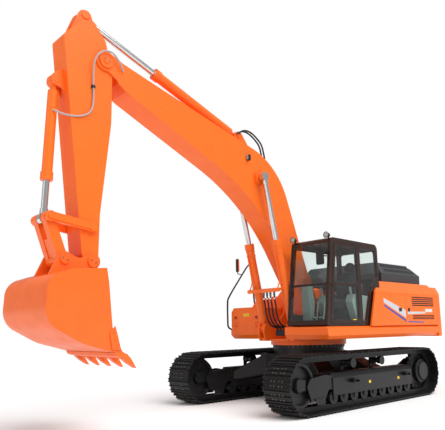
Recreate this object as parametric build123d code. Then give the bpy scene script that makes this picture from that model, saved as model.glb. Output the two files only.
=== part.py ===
from build123d import *
from math import atan2, cos, degrees, hypot, pi, radians, sin, tan
import os

# Crawler excavator of about 34 tonnes, at full size in millimetres.
# +X points forward to the bucket, +Y to the left (cab side), +Z up.
# The origin lies on the ground under the swing axis.
# Everything is modelled in the parked pose: boom raised, arm hanging, bucket half open.

# Running clearances
side_gap = 3.0
bore_gap = 0.3
seat_gap = 0.3

# Undercarriage
track_gauge = 2590.0
tumbler_span = 4040.0
track_height = 1000.0
shoe_width = 600.0
shoe_count = 51
shoe_plate = 14.0
lug_height = 28.0
lug_foot = 30.0
lug_crest = 14.0
link_height = 92.0
link_thickness = 46.0
link_spacing = 170.0
frame_width = 330.0
frame_front = 1180.0
frame_rear = -1560.0
frame_bottom = 270.0
frame_shoulder = 570.0
frame_top = 655.0
frame_wall = 14.0
bracket_plate = 44.0
roller_radius = 95.0
roller_flange = 116.0
roller_width = 254.0
roller_count = 9
roller_first = 1130.0
roller_last = -1420.0
carrier_radius = 70.0
carrier_places = (470.0, -520.0)
idler_width = 230.0
idler_flange_width = 96.0
sprocket_teeth = 21
sprocket_width = 76.0
drive_hub_radius = 245.0
drive_cover_radius = 190.0
body_half_length = 720.0
body_half_width = 790.0
body_bottom = 500.0
body_top = 930.0
pedestal_radius = 730.0
leg_near = 330.0
leg_far = 1130.0
race_bottom = 1050.0
race_split = 1112.0
race_top = 1200.0
lower_race_radius = 742.0
upper_race_radius = 790.0
race_bore = 560.0

# House deck
half_width = 1495.0
deck_bottom = 1236.0
deck_top = 1466.0
deck_front_left = 1300.0
deck_front_right = 830.0
deck_rear = -2870.0
deck_bevel = 54.0
web_spread = 620.0
web_thickness = 40.0
web_front = 1050.0
floor_plate = 40.0

# Working linkage in the parked pose, as X and Z of each pin
boom_foot = (100.0, 1900.0)
boom_tip = (5110.0, 5720.0)
boom_cylinder_eye = (1630.0, 4400.0)
boom_cylinder_foot = (930.0, 1450.0)
arm_cylinder_foot = (2050.0, 5225.0)
arm_cylinder_eye = (5430.0, 6440.0)
bucket_pin = (5265.0, 2470.0)
rocker_pin = (5270.0, 2984.0)
rocker_tip = (5940.0, 3072.0)
bucket_link_pin = (5712.0, 2478.0)
bucket_cylinder_foot = (5865.0, 5205.0)

# Boom
boom_width = 464.0
boom_plate = 27.0
boom_foot_radius = 150.0
boom_tip_radius = 172.0
boom_tip_boss = 28.0
boom_boss_radius = 135.0
boom_boss_reach = 308.0
boom_foot_width = 556.0

# Arm
arm_width = 404.0
arm_hub_radius = 150.0
arm_nose_radius = 118.0
crank_ear_radius = 92.0
crank_ear_gap = 150.0
crank_ear_plate = 44.0

# Cylinders
boom_cylinder_offset = 375.0
boom_tube_radius = 84.0
boom_rod_radius = 52.0
boom_tube_length = 1770.0
boom_rod_length = 1760.0
boom_eye_width = 88.0
arm_tube_radius = 92.0
arm_rod_radius = 56.0
arm_tube_length = 2100.0
arm_rod_length = 1900.0
arm_eye_width = 112.0
bucket_tube_radius = 78.0
bucket_rod_radius = 48.0
bucket_tube_length = 1560.0
bucket_rod_length = 1400.0
bucket_eye_width = 104.0
eye_thickness = 42.0
gland_length = 120.0
gland_step = 14.0
neck_length = 75.0
pin_proud = 2.0

# Bucket and its linkage
bucket_width = 1440.0
bucket_side = 26.0
bucket_shell = 24.0
bucket_ear_gap = 416.0
bucket_ear_plate = 46.0
bucket_ear_radius = 118.0
link_ear_radius = 110.0
link_boss_radius = 88.0
rocker_gap = 430.0
rocker_plate = 46.0
rocker_boss_radius = 84.0
tooth_count = 5
tooth_length = 215.0
tooth_width = 92.0
lip_thickness = 42.0
lip_reach = 150.0

# Cab
cab_inner = 476.0
cab_outer = 1420.0
cab_floor = 1478.0
cab_rear = -600.0
cab_wall = 48.0
cab_post = 70.0
glass_thickness = 6.0
rebate = 14.0
door_gap = 6.0

# Side houses, hood and counterweight
shoulder_height = 2145.0
house_top = 2385.0
house_inner = 1300.0
seam_front = -560.0
seam_middle = -1490.0
panel_thickness = 40.0
panel_gap = 6.0
hood_front = -1190.0
hood_rear = -2860.0
hood_half = 1120.0
hood_break = 2600.0
hood_top = 2860.0
hood_skin = 20.0
hood_slots = 12
tail_radius = 3450.0
weight_top = 2330.0
weight_bottom = 1215.0
weight_front = deck_rear


def outline(corners):
    """Closed flat face from (u, v, radius) corners, each corner rounded by its own radius."""
    spots = [Vector(u, v, 0) for u, v, r in corners]
    count = len(corners)
    entries = []
    exits = []
    middles = []
    setbacks = []
    for i in range(count):
        here = spots[i]
        back = (spots[i - 1] - here).normalized()
        ahead = (spots[(i + 1) % count] - here).normalized()
        radius = corners[i][2]
        half = radians(back.get_angle(ahead)) / 2
        setback = radius / tan(half) if radius else 0.0
        setbacks.append(setback)
        entries.append(here + back * setback)
        exits.append(here + ahead * setback)
        bisector = (back + ahead).normalized() if radius else Vector(0, 0, 0)
        middles.append(here + bisector * (radius / sin(half) - radius))
    edges = []
    for i in range(count):
        start = exits[i - 1]
        room = (spots[i] - spots[i - 1]).length
        if setbacks[i] + setbacks[i - 1] > room + 0.01:
            raise ValueError(f"corner radius too large near {corners[i]}")
        if (entries[i] - start).length > 0.01:
            edges.append(Edge.make_line(start, entries[i]))
        if corners[i][2]:
            edges.append(Edge.make_three_point_arc(entries[i], middles[i], exits[i]))
    return Face(Wire(edges))


def side_plate(face, y_low, y_high):
    """Face drawn in X and Z, given a thickness from y_low to y_high."""
    return extrude(Plane.XZ.offset(-y_high) * face, y_high - y_low, dir=(0, -1, 0))


def top_plate(face, z_low, z_high):
    """Face drawn in X and Y, given a thickness from z_low to z_high."""
    return extrude(Plane.XY.offset(z_low) * face, z_high - z_low, dir=(0, 0, 1))


def front_plate(face, x_low, x_high):
    """Face drawn in Y and Z, given a thickness from x_low to x_high."""
    return extrude(Plane.YZ.offset(x_low) * face, x_high - x_low, dir=(1, 0, 0))


def block(x_low, x_high, y_low, y_high, z_low, z_high):
    size = (x_high - x_low, y_high - y_low, z_high - z_low)
    centre = ((x_low + x_high) / 2, (y_low + y_high) / 2, (z_low + z_high) / 2)
    return Pos(*centre) * Box(*size)


def bar_y(place, radius, y_low, y_high):
    """Round bar across the machine at the (x, z) place."""
    x, z = place
    return Pos(x, (y_low + y_high) / 2, z) * Rot(90, 0, 0) * Cylinder(radius, y_high - y_low)


def bar_z(x, y, radius, z_low, z_high):
    return Pos(x, y, (z_low + z_high) / 2) * Cylinder(radius, z_high - z_low)


def bar_between(start, end, radius):
    """Round bar from one point of space to another."""
    axis = Vector(*end) - Vector(*start)
    plane = Plane(origin=Vector(*start), z_dir=axis.normalized())
    return extrude(plane * Circle(radius), axis.length)


def both_sides(shape):
    """The shape and its mirror image on the other side of the machine."""
    return Compound([shape, mirror(shape, about=Plane.XZ)])


def pipe_run(points, radius, bend):
    """Round pipe through the points, bent to one radius at each inner point."""
    path = FilletPolyline(*points, radius=bend) if len(points) > 2 else Line(*points)
    start = Plane(origin=path @ 0, z_dir=path % 0)
    return sweep(start * Circle(radius), path=path)


# Tracks

loop_radius = track_height / 2 - lug_height - shoe_plate
rail_radius = loop_radius - link_height
axle_height = track_height / 2
loop_length = 2 * tumbler_span + 2 * pi * loop_radius
shoe_pitch = loop_length / shoe_count


def loop_point(distance):
    """Point in X and Z on the inside of the shoes, measured along the loop."""
    half = tumbler_span / 2
    turn = pi * loop_radius
    along = distance % loop_length
    if along < tumbler_span:
        return (along - half, axle_height - loop_radius)
    along -= tumbler_span
    if along < turn:
        angle = along / loop_radius - pi / 2
        return (half + loop_radius * cos(angle), axle_height + loop_radius * sin(angle))
    along -= turn
    if along < tumbler_span:
        return (half - along, axle_height + loop_radius)
    along -= tumbler_span
    angle = along / loop_radius + pi / 2
    return (-half + loop_radius * cos(angle), axle_height + loop_radius * sin(angle))


def shoe_profile():
    """One shoe along its length and outwards: a plate with three lugs."""
    slope = (lug_foot - lug_crest) / 2
    room = shoe_pitch - 8.0
    points = []
    for share in (0.0, 0.5, 1.0):
        first = 4.0 + share * (room - lug_foot)
        points.append((first, shoe_plate))
        points.append((first + slope, shoe_plate + lug_height))
        points.append((first + slope + lug_crest, shoe_plate + lug_height))
        points.append((first + lug_foot, shoe_plate))
    return points


def track_outline():
    """Outer and inner outline of the whole loop of shoes."""
    profile = shoe_profile()
    outer = []
    inner = []
    for i in range(shoe_count):
        x0, z0 = loop_point(i * shoe_pitch)
        x1, z1 = loop_point((i + 1) * shoe_pitch)
        chord = hypot(x1 - x0, z1 - z0)
        ux, uz = (x1 - x0) / chord, (z1 - z0) / chord
        inner.append((x0, z0))
        for along, out in profile:
            outer.append((x0 + ux * along + uz * out, z0 + uz * along - ux * out))
    return outer, inner


def stadium(radius):
    return outline_stadium(tumbler_span, radius, axle_height)


def outline_stadium(length, radius, height):
    half = length / 2
    low = height - radius
    high = height + radius
    edges = [
        Edge.make_line((-half, low, 0), (half, low, 0)),
        Edge.make_three_point_arc((half, low, 0), (half + radius, height, 0), (half, high, 0)),
        Edge.make_line((half, high, 0), (-half, high, 0)),
        Edge.make_three_point_arc((-half, high, 0), (-half - radius, height, 0), (-half, low, 0)),
    ]
    return Face(Wire(edges))


def make_track(centre):
    """Loop of lugged shoes on two rails of links, on the given centre line."""
    outer, inner = track_outline()
    outer_wire = Wire.make_polygon([Vector(x, z, 0) for x, z in outer])
    inner_wire = Wire.make_polygon([Vector(x, z, 0) for x, z in inner])
    shoes = Face(outer_wire, [inner_wire])
    track = side_plate(shoes, centre - shoe_width / 2, centre + shoe_width / 2)
    rail = stadium(loop_radius - 5.0) - stadium(rail_radius)
    for side in (-1, 1):
        middle = centre + side * link_spacing / 2
        track += side_plate(rail.face(), middle - link_thickness / 2, middle + link_thickness / 2)
    return track


def turned(profile, place, centre):
    """Body turned about an axle across the machine, from (y, radius) corners."""
    x, z = place
    face = outline([(y, r, 0) for y, r in profile])
    body = revolve(Plane.XY * face, Axis.X)
    return Pos(x, centre, z) * Rot(0, 0, 90) * body


def mirrored_profile(half):
    """Half profile from the middle outwards, completed on the other side."""
    right = list(half)
    left = [(-y, r) for y, r in reversed(half)]
    return left + right


carrier_height = axle_height + rail_radius - carrier_radius - seat_gap
pocket_half = frame_width / 2 - frame_wall
stand_inner = roller_width / 2 + 6.0


def make_rollers(centre):
    """Bottom rollers with their flanges and collars, and the carrier rollers above."""
    half = roller_width / 2
    axle = 32.0
    flange_width = 16.0
    low_z = axle_height - rail_radius + roller_radius + seat_gap
    high_z = carrier_height
    low_profile = [(pocket_half, 0), (pocket_half, axle), (half + 6, axle), (half + 6, 60)]
    low_profile += [(half, 60), (half, roller_flange)]
    low_profile += [(half - flange_width, roller_flange), (half - flange_width, roller_radius)]
    low_profile += [(30, roller_radius), (30, roller_radius - 25)]
    high_profile = [(half, 0), (half, carrier_radius + 18), (half - flange_width, carrier_radius + 18)]
    high_profile += [(half - flange_width, carrier_radius), (34, carrier_radius), (34, carrier_radius - 18)]
    low = turned(mirrored_profile(list(reversed(low_profile))), (0, low_z), centre)
    high = turned(mirrored_profile(list(reversed(high_profile))), (0, high_z), centre)
    shaft = bar_y((0, high_z), axle, centre - stand_inner, centre - half + 5)
    carrier = high + shaft
    pieces = []
    for i in range(roller_count):
        x = roller_first + (roller_last - roller_first) * i / (roller_count - 1)
        pieces.append(Pos(x, 0, 0) * low)
    for x in carrier_places:
        pieces.append(Pos(x, 0, 0) * carrier)
    return Compound([solid for piece in pieces for solid in piece.solids()])


def make_idler(centre):
    """Front idler wheel with its centre flange and the sliding bearing blocks."""
    half = idler_width / 2
    flange = idler_flange_width / 2
    tread = rail_radius - seat_gap
    profile = [(flange, tread + 34), (flange + 6, tread), (half, tread), (half, tread - 46)]
    profile += [(45, tread - 70), (45, 130), (half - 5, 110), (half - 5, 0)]
    wheel = turned(mirrored_profile(profile), (tumbler_span / 2, axle_height), centre)
    blocks = []
    for side in (-1, 1):
        y = centre + side * (half + 7 - seat_gap)
        low, high = min(y, y - side * 16), max(y, y - side * 16)
        blocks.append(block(tumbler_span / 2 - 130, tumbler_span / 2 + 90, low, high, 410, 590))
    return wheel + blocks[0] + blocks[1]


def make_final_drive(centre, outward):
    """Sprocket ring, hub and round cover of the travel drive."""
    place = (-tumbler_span / 2, axle_height)
    root = rail_radius - 8.0
    tip = rail_radius + 42.0
    points = []
    for i in range(sprocket_teeth):
        for share, radius in ((0.0, root), (0.3, root), (0.5, tip), (0.8, tip)):
            angle = 2 * pi * (i + share) / sprocket_teeth
            points.append((place[0] + radius * cos(angle), place[1] + radius * sin(angle), 0))
    ring = side_plate(outline(points), centre - sprocket_width / 2, centre + sprocket_width / 2)
    inner = -frame_width / 2 + bracket_plate
    hub_profile = [(inner, 0), (inner, 215), (-38, 215), (-38, 300), (38, 300), (60, drive_hub_radius)]
    hub_profile += [(150, drive_hub_radius), (170, drive_cover_radius), (196, drive_cover_radius)]
    hub_profile += [(204, drive_cover_radius - 12), (204, 0)]
    hub = turned([(outward * y, r) for y, r in hub_profile], place, centre)
    return ring + hub


def make_track_frame(centre, outward):
    """Box beam over the rollers with the idler fork in front and the drive bracket behind."""
    half = frame_width / 2
    ridge = 100.0
    section = outline([
        (centre - half, frame_bottom, 0), (centre - half, frame_shoulder, 20),
        (centre - ridge, frame_top, 25), (centre + ridge, frame_top, 25),
        (centre + half, frame_shoulder, 20), (centre + half, frame_bottom, 0),
    ])
    beam = front_plate(section, frame_rear, frame_front)
    wall = frame_wall
    pocket_top = 366.0
    for x in carrier_places:
        beam += block(x - 45, x + 45, centre - stand_inner - 24, centre - stand_inner,
                      frame_shoulder, carrier_height + 40)
    beam -= block(frame_rear - 1, frame_front + 1, centre - half + wall, centre + half - wall,
                  frame_bottom - 1, pocket_top)
    fork = outline([
        (frame_front - 60, 380, 0), (frame_front - 60, 600, 0), (frame_front + 180, 640, 40),
        (1780, 600, 60), (1880, 470, 60), (1780, 230, 60), (frame_front + 230, 210, 40), (frame_front + 110, 380, 40),
    ])
    fork_plate = 24.0
    for side in (-1, 1):
        face = centre + side * (idler_width / 2 + 7)
        beam += side_plate(fork, min(face, face + side * fork_plate), max(face, face + side * fork_plate))
    spring = bar_between((frame_front - 40, centre, 480), (1600, centre, 480), 60)
    beam += spring
    guard = side_plate(outline([(1420, 150, 20), (1420, 262, 0), (1690, 262, 0), (1640, 150, 30)]),
                       centre - half, centre + half)
    guard -= block(1400, 1700, centre - half + wall, centre + half - wall, 100, 232)
    beam += guard
    drive_x = -tumbler_span / 2
    bracket = outline([
        (frame_rear + 40, 300, 0), (frame_rear + 40, 620, 0), (drive_x + 150, 760, 120),
        (drive_x - 230, 730, 180), (drive_x - 230, 270, 180), (drive_x + 150, 240, 120),
    ])
    inner = centre - outward * half
    plate = bracket_plate
    low, high = min(inner, inner + outward * plate), max(inner, inner + outward * plate)
    beam += side_plate(bracket, low, high)
    return beam


def make_car_body():
    """Centre box with four arched legs out to the track frames and the ring seat on top."""
    box = block(-body_half_length, body_half_length, -body_half_width, body_half_width,
                body_bottom, body_top)
    corner_edges = box.edges().filter_by(Axis.Z)
    box = fillet(corner_edges, 120)
    box += bar_z(0, 0, pedestal_radius, body_bottom + 20, race_bottom)
    half = frame_width / 2
    reach = track_gauge / 2 - half
    legs = []
    for end in (-1, 1):
        root = outline([
            (end * leg_near, body_bottom, 0), (end * leg_near, 1000, 0),
            (end * 700, 960, 60), (end * 715, body_bottom + 20, 40),
        ][::end])
        tip = outline([
            (end * 560, 380, 0), (end * 560, 600, 0),
            (end * leg_far, 600, 50), (end * leg_far, 380, 50),
        ][::end])
        root_face = Plane.XZ.offset(-(body_half_width - 240)) * root
        tip_face = Plane.XZ.offset(-(reach - 0.0)) * tip
        legs.append(loft([root_face, tip_face]))
    body = box
    for leg in legs:
        body += leg
        body += mirror(leg, about=Plane.XZ)
    body -= bar_z(0, 0, race_bore - 60, race_bottom - 200, race_bottom + 1)
    tow_half = 120.0
    for end in (-1, 1):
        near, far = sorted((end * (body_half_length - 60), end * (body_half_length + 100)))
        lug = block(near, far, -tow_half, tow_half, body_bottom + 40, body_bottom + 140)
        eye = bar_z(end * (body_half_length + 55), 0, 26, body_bottom, body_bottom + 200)
        body += lug
        body -= eye
    return body


def make_lower_race():
    """Lower ring of the slewing bearing, bolted down to the car body."""
    ring = bar_z(0, 0, lower_race_radius, race_bottom, race_split - seat_gap)
    ring -= bar_z(0, 0, race_bore, race_bottom - 1, race_split + 1)
    return ring


# House

web_half = web_spread / 2


def make_house_frame():
    """Deck with bevelled skirts, the boom brackets and the upper bearing ring."""
    skirt = outline([
        (cab_inner + 8, deck_bottom, 0), (cab_inner + 8, deck_top, 0),
        (half_width - deck_bevel, deck_top, 0), (half_width, deck_top - 40, 0),
        (half_width, deck_bottom + 70, 0), (half_width - deck_bevel, deck_bottom, 0),
    ])
    left = front_plate(skirt, deck_rear, deck_front_left)
    nose = outline([
        (deck_front_left - 55, deck_bottom - 1, 0), (deck_front_left + 1, deck_bottom + 90, 0),
        (deck_front_left + 1, deck_bottom - 1, 0),
    ])
    left -= side_plate(nose, cab_inner - 1, half_width + 1)
    right = mirror(front_plate(skirt, deck_rear, deck_front_right), about=Plane.XZ)
    nose_right = Pos(deck_front_right - deck_front_left, 0, 0) * nose
    right -= side_plate(nose_right, -half_width - 1, -cab_inner + 1)
    centre = block(deck_rear, web_front - 150, -cab_inner - 9, cab_inner + 9,
                   race_top + 0.0, race_top + floor_plate)
    frame = left + right + centre
    frame += block(deck_rear, -1250, -cab_inner - 9, cab_inner + 9, race_top, deck_top)
    web = outline([
        (-1260, race_top, 0), (-1260, deck_top + 60, 60), (-420, deck_top + 190, 200),
        (boom_foot[0] - 230, boom_foot[1] + 150, 120), (boom_foot[0] + 160, boom_foot[1] + 170, 130),
        (boom_foot[0] + 330, boom_foot[1] - 160, 160), (650, 1555, 100),
        (web_front - 50, 1555, 100), (web_front + 10, 1400, 80), (web_front - 40, race_top, 40),
    ])
    pin_radius = 55.0
    for side in (-1, 1):
        inner = side * (boom_foot_width / 2 + side_gap)
        outer = inner + side * web_thickness
        frame += side_plate(web, min(inner, outer), max(inner, outer))
        frame += bar_y(boom_foot, 120, min(outer, outer + side * 22), max(outer, outer + side * 22))
        lug_in = side * (boom_cylinder_offset + boom_eye_width / 2 + side_gap)
        lug_out = side * (cab_inner - 4)
        lug = outline([
            (820, race_top, 0), (820, 1500, 80), (boom_cylinder_foot[0] - 30, 1560, 70),
            (boom_cylinder_foot[0] + 110, 1530, 80), (web_front, 1330, 60), (1000, race_top, 30),
        ])
        frame += side_plate(lug, min(lug_in, lug_out), max(lug_in, lug_out))
        boss_out = side * (boom_cylinder_offset - boom_eye_width / 2 - side_gap)
        frame += bar_y(boom_cylinder_foot, 76, min(outer, boss_out), max(outer, boss_out))
        foot = block(830, 985, min(inner, lug_out), max(inner, lug_out), race_top, race_top + 60)
        frame += foot
        frame += bar_y(boom_cylinder_foot, 42, min(inner + side * 2, lug_out), max(inner + side * 2, lug_out))
    frame += bar_y(boom_foot, pin_radius, -web_half, web_half)
    cross = block(-1180, -1100, -web_half, web_half, race_top, deck_top + 40)
    frame += cross
    for x in (cab_rear + 120, 1000):
        for y in (cab_inner + 110, cab_outer - 110):
            frame += bar_z(x, y, 60, deck_top - 1, cab_floor - seat_gap)
    frame += bar_z(0, 0, upper_race_radius, race_split, race_top + 5)
    frame -= bar_z(0, 0, race_bore, race_split - 1, race_top - 20)
    return frame


def make_swing_drive():
    """Swing motor with its gearbox and the control valve block behind the boom foot."""
    gearbox = bar_z(-480, 0, 165, race_top + floor_plate, 1700)
    motor = bar_z(-480, 0, 120, 1690, 1950)
    valve = block(-1080, -760, -190, 190, race_top + floor_plate, 1780)
    ports = [bar_y((x, 1700), 28, 185, 235) for x in (-1020, -940, -860)]
    valve_body = valve
    for port in ports:
        valve_body += port
    return Compound([gearbox + motor, valve_body])


def make_engine():
    """Engine and pump as plain blocks across the house behind the boom."""
    block_low = deck_top + 40
    engine = block(-2480, -1760, -640, 560, block_low, 2180)
    engine += block(-2380, -1900, -980, -600, block_low + 120, 1960)
    for x in (-2380, -1860):
        for y in (-520, 420):
            engine += block(x - 50, x + 50, y - 50, y + 50, deck_top, block_low + 5)
    return engine


def make_radiator():
    """Cooling pack behind the vents of the left rear door."""
    core = block(-2700, -1640, 900, 1180, deck_top, 2130)
    shroud = bar_y((-2120, 1800), 330, 780, 905) - bar_y((-2120, 1800), 300, 770, 850)
    return core + shroud


def house_section(thickness):
    """Section of a side house: upright wall with the sloping shoulder and flat top."""
    outer = [
        (half_width, deck_top, 0), (half_width, shoulder_height, 30),
        (house_inner, house_top, 30), (hood_half - 40, house_top, 0),
        (hood_half - 40, house_top - thickness, 0), (house_inner - 12, house_top - thickness, 0),
        (half_width - thickness, shoulder_height - 14, 0), (half_width - thickness, deck_top, 0),
    ]
    return outline(outer)


def door_face(front, rear):
    return outline([
        (rear + panel_gap / 2, deck_top + 12, 25), (rear + panel_gap / 2, shoulder_height - 40, 25),
        (front - panel_gap / 2, shoulder_height - 40, 25), (front - panel_gap / 2, deck_top + 12, 25),
    ])


def make_left_house():
    """Fixed panels of the left side house, cut for its two doors and the cab's sloping back."""
    shell = front_plate(house_section(panel_thickness), deck_rear + 4, -100)
    shell -= block(cab_rear - panel_gap, 0, 0, cab_outer + panel_gap, deck_top - 1, house_top + 1)
    slope = outline([
        (-108, deck_top - 1, 0), (-318, 2128, 30), (-560, 2320, 0), (-590, house_top + 40, 0),
        (200, house_top + 40, 0), (200, deck_top - 1, 0),
    ])
    shell -= side_plate(slope, 900, half_width + 5)
    for front, rear in ((seam_front, seam_middle), (seam_middle, deck_rear + 4)):
        inset = 36.0
        hole = outline([
            (rear + inset, deck_top + 44, 20), (rear + inset, shoulder_height - 74, 20),
            (front - inset, shoulder_height - 74, 20), (front - inset, deck_top + 44, 20),
        ])
        shell -= side_plate(hole, half_width - panel_thickness - 5, half_width + 5)
        shell -= side_plate(offset(door_face(front, rear), panel_gap / 2),
                            half_width - panel_thickness / 2 - seat_gap, half_width + 5)
    for x in (cab_rear - panel_gap - 30, seam_middle - 15):
        shell += block(x, x + 30, 560, half_width - panel_thickness + 5, deck_top, house_top - 300)
    back = block(deck_rear + 4, deck_rear + 34, hood_half - 40, half_width - panel_thickness + 5,
                 deck_top, shoulder_height - 40)
    shell += back
    return shell


def louvred(panel, x_low, x_high, z_low, z_high, bars):
    """Panel with a row of slots between slats, seen as a dark grille."""
    pitch = (z_high - z_low) / bars
    for i in range(bars):
        low = z_low + i * pitch + pitch * 0.22
        slot = block(x_low, x_high, half_width - 60, half_width + 10, low, low + pitch * 0.62)
        panel -= slot
    return panel


def make_side_door(front, rear):
    inner = half_width - panel_thickness / 2
    return side_plate(door_face(front, rear), inner, half_width)


def make_left_front_door():
    door = make_side_door(seam_front, seam_middle)
    handle = block(-1290, -1170, half_width - 10, half_width + 6, 1760, 1830)
    return door + handle


def make_left_rear_door():
    door = make_side_door(seam_middle, deck_rear + 4)
    door = louvred(door, -2720, -1730, 1870, 2085, 5)
    door = louvred(door, -2720, -1730, 1585, 1690, 3)
    return door


def make_right_house():
    """Fixed panels of the pump compartment on the right side."""
    shell = front_plate(house_section(panel_thickness), deck_rear + 4, seam_middle + 70)
    front, rear = seam_middle, deck_rear + 4
    inset = 36.0
    hole = outline([
        (rear + inset, deck_top + 44, 20), (rear + inset, shoulder_height - 74, 20),
        (front - inset, shoulder_height - 74, 20), (front - inset, deck_top + 44, 20),
    ])
    shell -= side_plate(hole, half_width - panel_thickness - 5, half_width + 5)
    shell -= side_plate(offset(door_face(front, rear), panel_gap / 2),
                        half_width - panel_thickness / 2 - seat_gap, half_width + 5)
    shell += block(seam_middle + 20, seam_middle + 60, 560, half_width - panel_thickness + 5,
                   deck_top, house_top - 300)
    shell += block(deck_rear + 4, deck_rear + 34, hood_half - 40, half_width - panel_thickness + 5,
                   deck_top, shoulder_height - 40)
    return mirror(shell, about=Plane.XZ)


def make_right_door():
    door = make_side_door(seam_middle, deck_rear + 4)
    door = louvred(door, -2600, -1900, 1800, 2000, 4)
    return mirror(door, about=Plane.XZ)


tank_front = 150.0
tank_split = -700.0
tank_rear = seam_middle + 76.0


def tank_section(top):
    return outline([
        (-half_width, deck_top, 0), (-half_width, top - 190, 60), (-house_inner, top, 60),
        (-cab_inner - 40, top, 60), (-cab_inner - 40, deck_top, 0),
    ])


def make_fuel_tank():
    tank = front_plate(tank_section(2130), tank_split + 4, tank_front)
    neck = bar_z(-150, -1050, 70, 2120, 2170)
    return tank + neck


def make_oil_tank():
    tank = front_plate(tank_section(house_top - 20), tank_rear, tank_split - 4)
    lid = bar_z(-1000, -950, 110, house_top - 25, house_top + 20)
    return tank + lid


box_front = deck_front_right
box_inner = -570.0
box_seam = 1640.0
box_top = 1905.0


def tool_box_face():
    return outline([
        (-half_width + 20, deck_top, 0), (-half_width + 20, box_top - 95, 30), (-half_width + 95, box_top, 40),
        (box_inner, box_top, 30), (box_inner, deck_top, 0),
    ])


def make_tool_box():
    """Lower tray of the tool box in front of the fuel tank."""
    body = front_plate(tool_box_face(), tank_front + 6, box_front)
    body -= block(0, box_front + 1, -half_width, box_inner + 1, box_seam, box_top + 10)
    body -= block(tank_front + 40, box_front - 30, -half_width + 50, box_inner - 30, deck_top + 30, box_seam + 1)
    handles = []
    for y in (-1330, -700):
        path = [(box_front - 5, y, 1590), (box_front + 45, y, 1580), (box_front + 45, y, 1500), (box_front - 5, y, 1490)]
        handles.append(pipe_run(path, 9, 20))
    for handle in handles:
        body += handle
    return body


def make_tool_box_lid():
    lid = front_plate(tool_box_face(), tank_front + 6, box_front)
    lid -= block(0, box_front + 1, -half_width, box_inner + 1, deck_top - 1, box_seam + seat_gap)
    inner = front_plate(offset(tool_box_face(), -25), tank_front + 36, box_front - 25)
    lid -= inner
    lid -= block(tank_front + 36, box_front - 25, -half_width + 48, box_inner - 27, box_seam, box_seam + 60)
    for y in (-1330, -700):
        lid += block(box_front - 2, box_front + 14, y - 28, y + 28, 1655, 1730)
    return lid


def hood_section(half_low, half_break, half_top):
    return outline([
        (-half_low, house_top + seat_gap, 0), (-half_break, hood_break, 15), (-half_top, hood_top, 30),
        (half_top, hood_top, 30), (half_break, hood_break, 15), (half_low, house_top + seat_gap, 0),
    ])


def make_engine_hood():
    """Engine cover: a hollow black hood with two rows of slots along each side."""
    outer = front_plate(hood_section(hood_half, hood_half + 8, 900), hood_rear, hood_front)
    lean_front = outline([
        (hood_front + 1, hood_break, 0), (hood_front + 1, hood_top + 1, 0), (hood_front - 150, hood_top + 1, 0),
    ])
    lean_rear = outline([
        (hood_rear - 1, hood_break, 0), (hood_rear - 1, hood_top + 1, 0), (hood_rear + 190, hood_top + 1, 0),
    ])
    outer -= side_plate(lean_front, -hood_half - 20, hood_half + 20)
    outer -= side_plate(lean_rear, -hood_half - 20, hood_half + 20)
    inner = front_plate(
        hood_section(hood_half - hood_skin, hood_half + 8 - hood_skin, 900 - hood_skin),
        hood_rear + hood_skin, hood_front - hood_skin)
    inner = Pos(0, 0, -hood_skin) * inner
    inner -= Pos(0, 0, -hood_skin) * side_plate(lean_front, -hood_half - 20, hood_half + 20)
    inner -= Pos(0, 0, -hood_skin) * side_plate(lean_rear, -hood_half - 20, hood_half + 20)
    hood = outer - inner
    pitch = 122.0
    lean = 34.0
    for row, (low, high) in enumerate(((2640.0, 2715.0), (2755.0, 2830.0))):
        for i in range(hood_slots):
            x = -1420 - i * pitch * 0.9 - row * 10
            slot = outline([(x, low, 0), (x - 62, low, 0), (x - 62 - lean, high, 0), (x - lean, high, 0)])
            hood -= side_plate(slot, -hood_half - 20, -760)
            hood -= side_plate(slot, 760, hood_half + 20)
    return hood


def make_counterweight():
    """Cast tail weight with rounded rear corners, sloping shoulders and two lifting eyes."""
    front = weight_front
    plan = outline([
        (front, -half_width, 0), (front, half_width, 0), (-3050, half_width, 120),
        (-tail_radius + 40, 1050, 500), (-tail_radius, 0, 2600), (-tail_radius + 40, -1050, 500),
        (-3050, -half_width, 120),
    ])
    weight = top_plate(plan, weight_bottom, weight_top)
    section = outline([
        (-half_width - 1, weight_bottom - 1, 0), (-half_width - 1, shoulder_height, 0),
        (-house_inner, weight_top + 55, 40), (house_inner, weight_top + 55, 40),
        (half_width + 1, shoulder_height, 0), (half_width + 1, weight_bottom - 1, 0),
    ])
    weight = weight & front_plate(section, -tail_radius - 10, front)
    under = outline([
        (-tail_radius - 1, weight_bottom - 1, 0), (-tail_radius - 1, weight_bottom + 150, 0),
        (-tail_radius + 330, weight_bottom - 1, 0),
    ])
    weight -= side_plate(under, -half_width - 1, half_width + 1)
    for y in (-700, 700):
        lug = side_plate(outline([
            (-3260, weight_top - 5, 0), (-3260, weight_top + 70, 60), (-3120, weight_top + 70, 60),
            (-3120, weight_top - 5, 0),
        ]), y - 25, y + 25)
        lug -= bar_y((-3190, weight_top + 45), 30, y - 30, y + 30)
        weight += lug
    return weight


# Cab



def cab_front_at(z):
    """X of the cab's leaning front face at a height."""
    low_x, low_z = 1215.0, cab_floor
    high_x, high_z = 985.0, 3110.0
    return low_x + (high_x - low_x) * (z - low_z) / (high_z - low_z)


def make_cab_body_outline():
    return outline([
        (cab_front_at(cab_floor), cab_floor, 40), (cab_front_at(3125), 3125, 90),
        (cab_rear + 5, 3110, 110), (cab_rear, cab_floor, 30),
    ])


def window_left_rear():
    """Rear quarter window behind the door, its lower rear corner cut off by the slope."""
    return outline([
        (40, 2985, 60), (-505, 2975, 80), (-515, 2450, 60), (-290, 2240, 60), (-60, 1560, 40), (40, 1560, 30),
    ])


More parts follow.
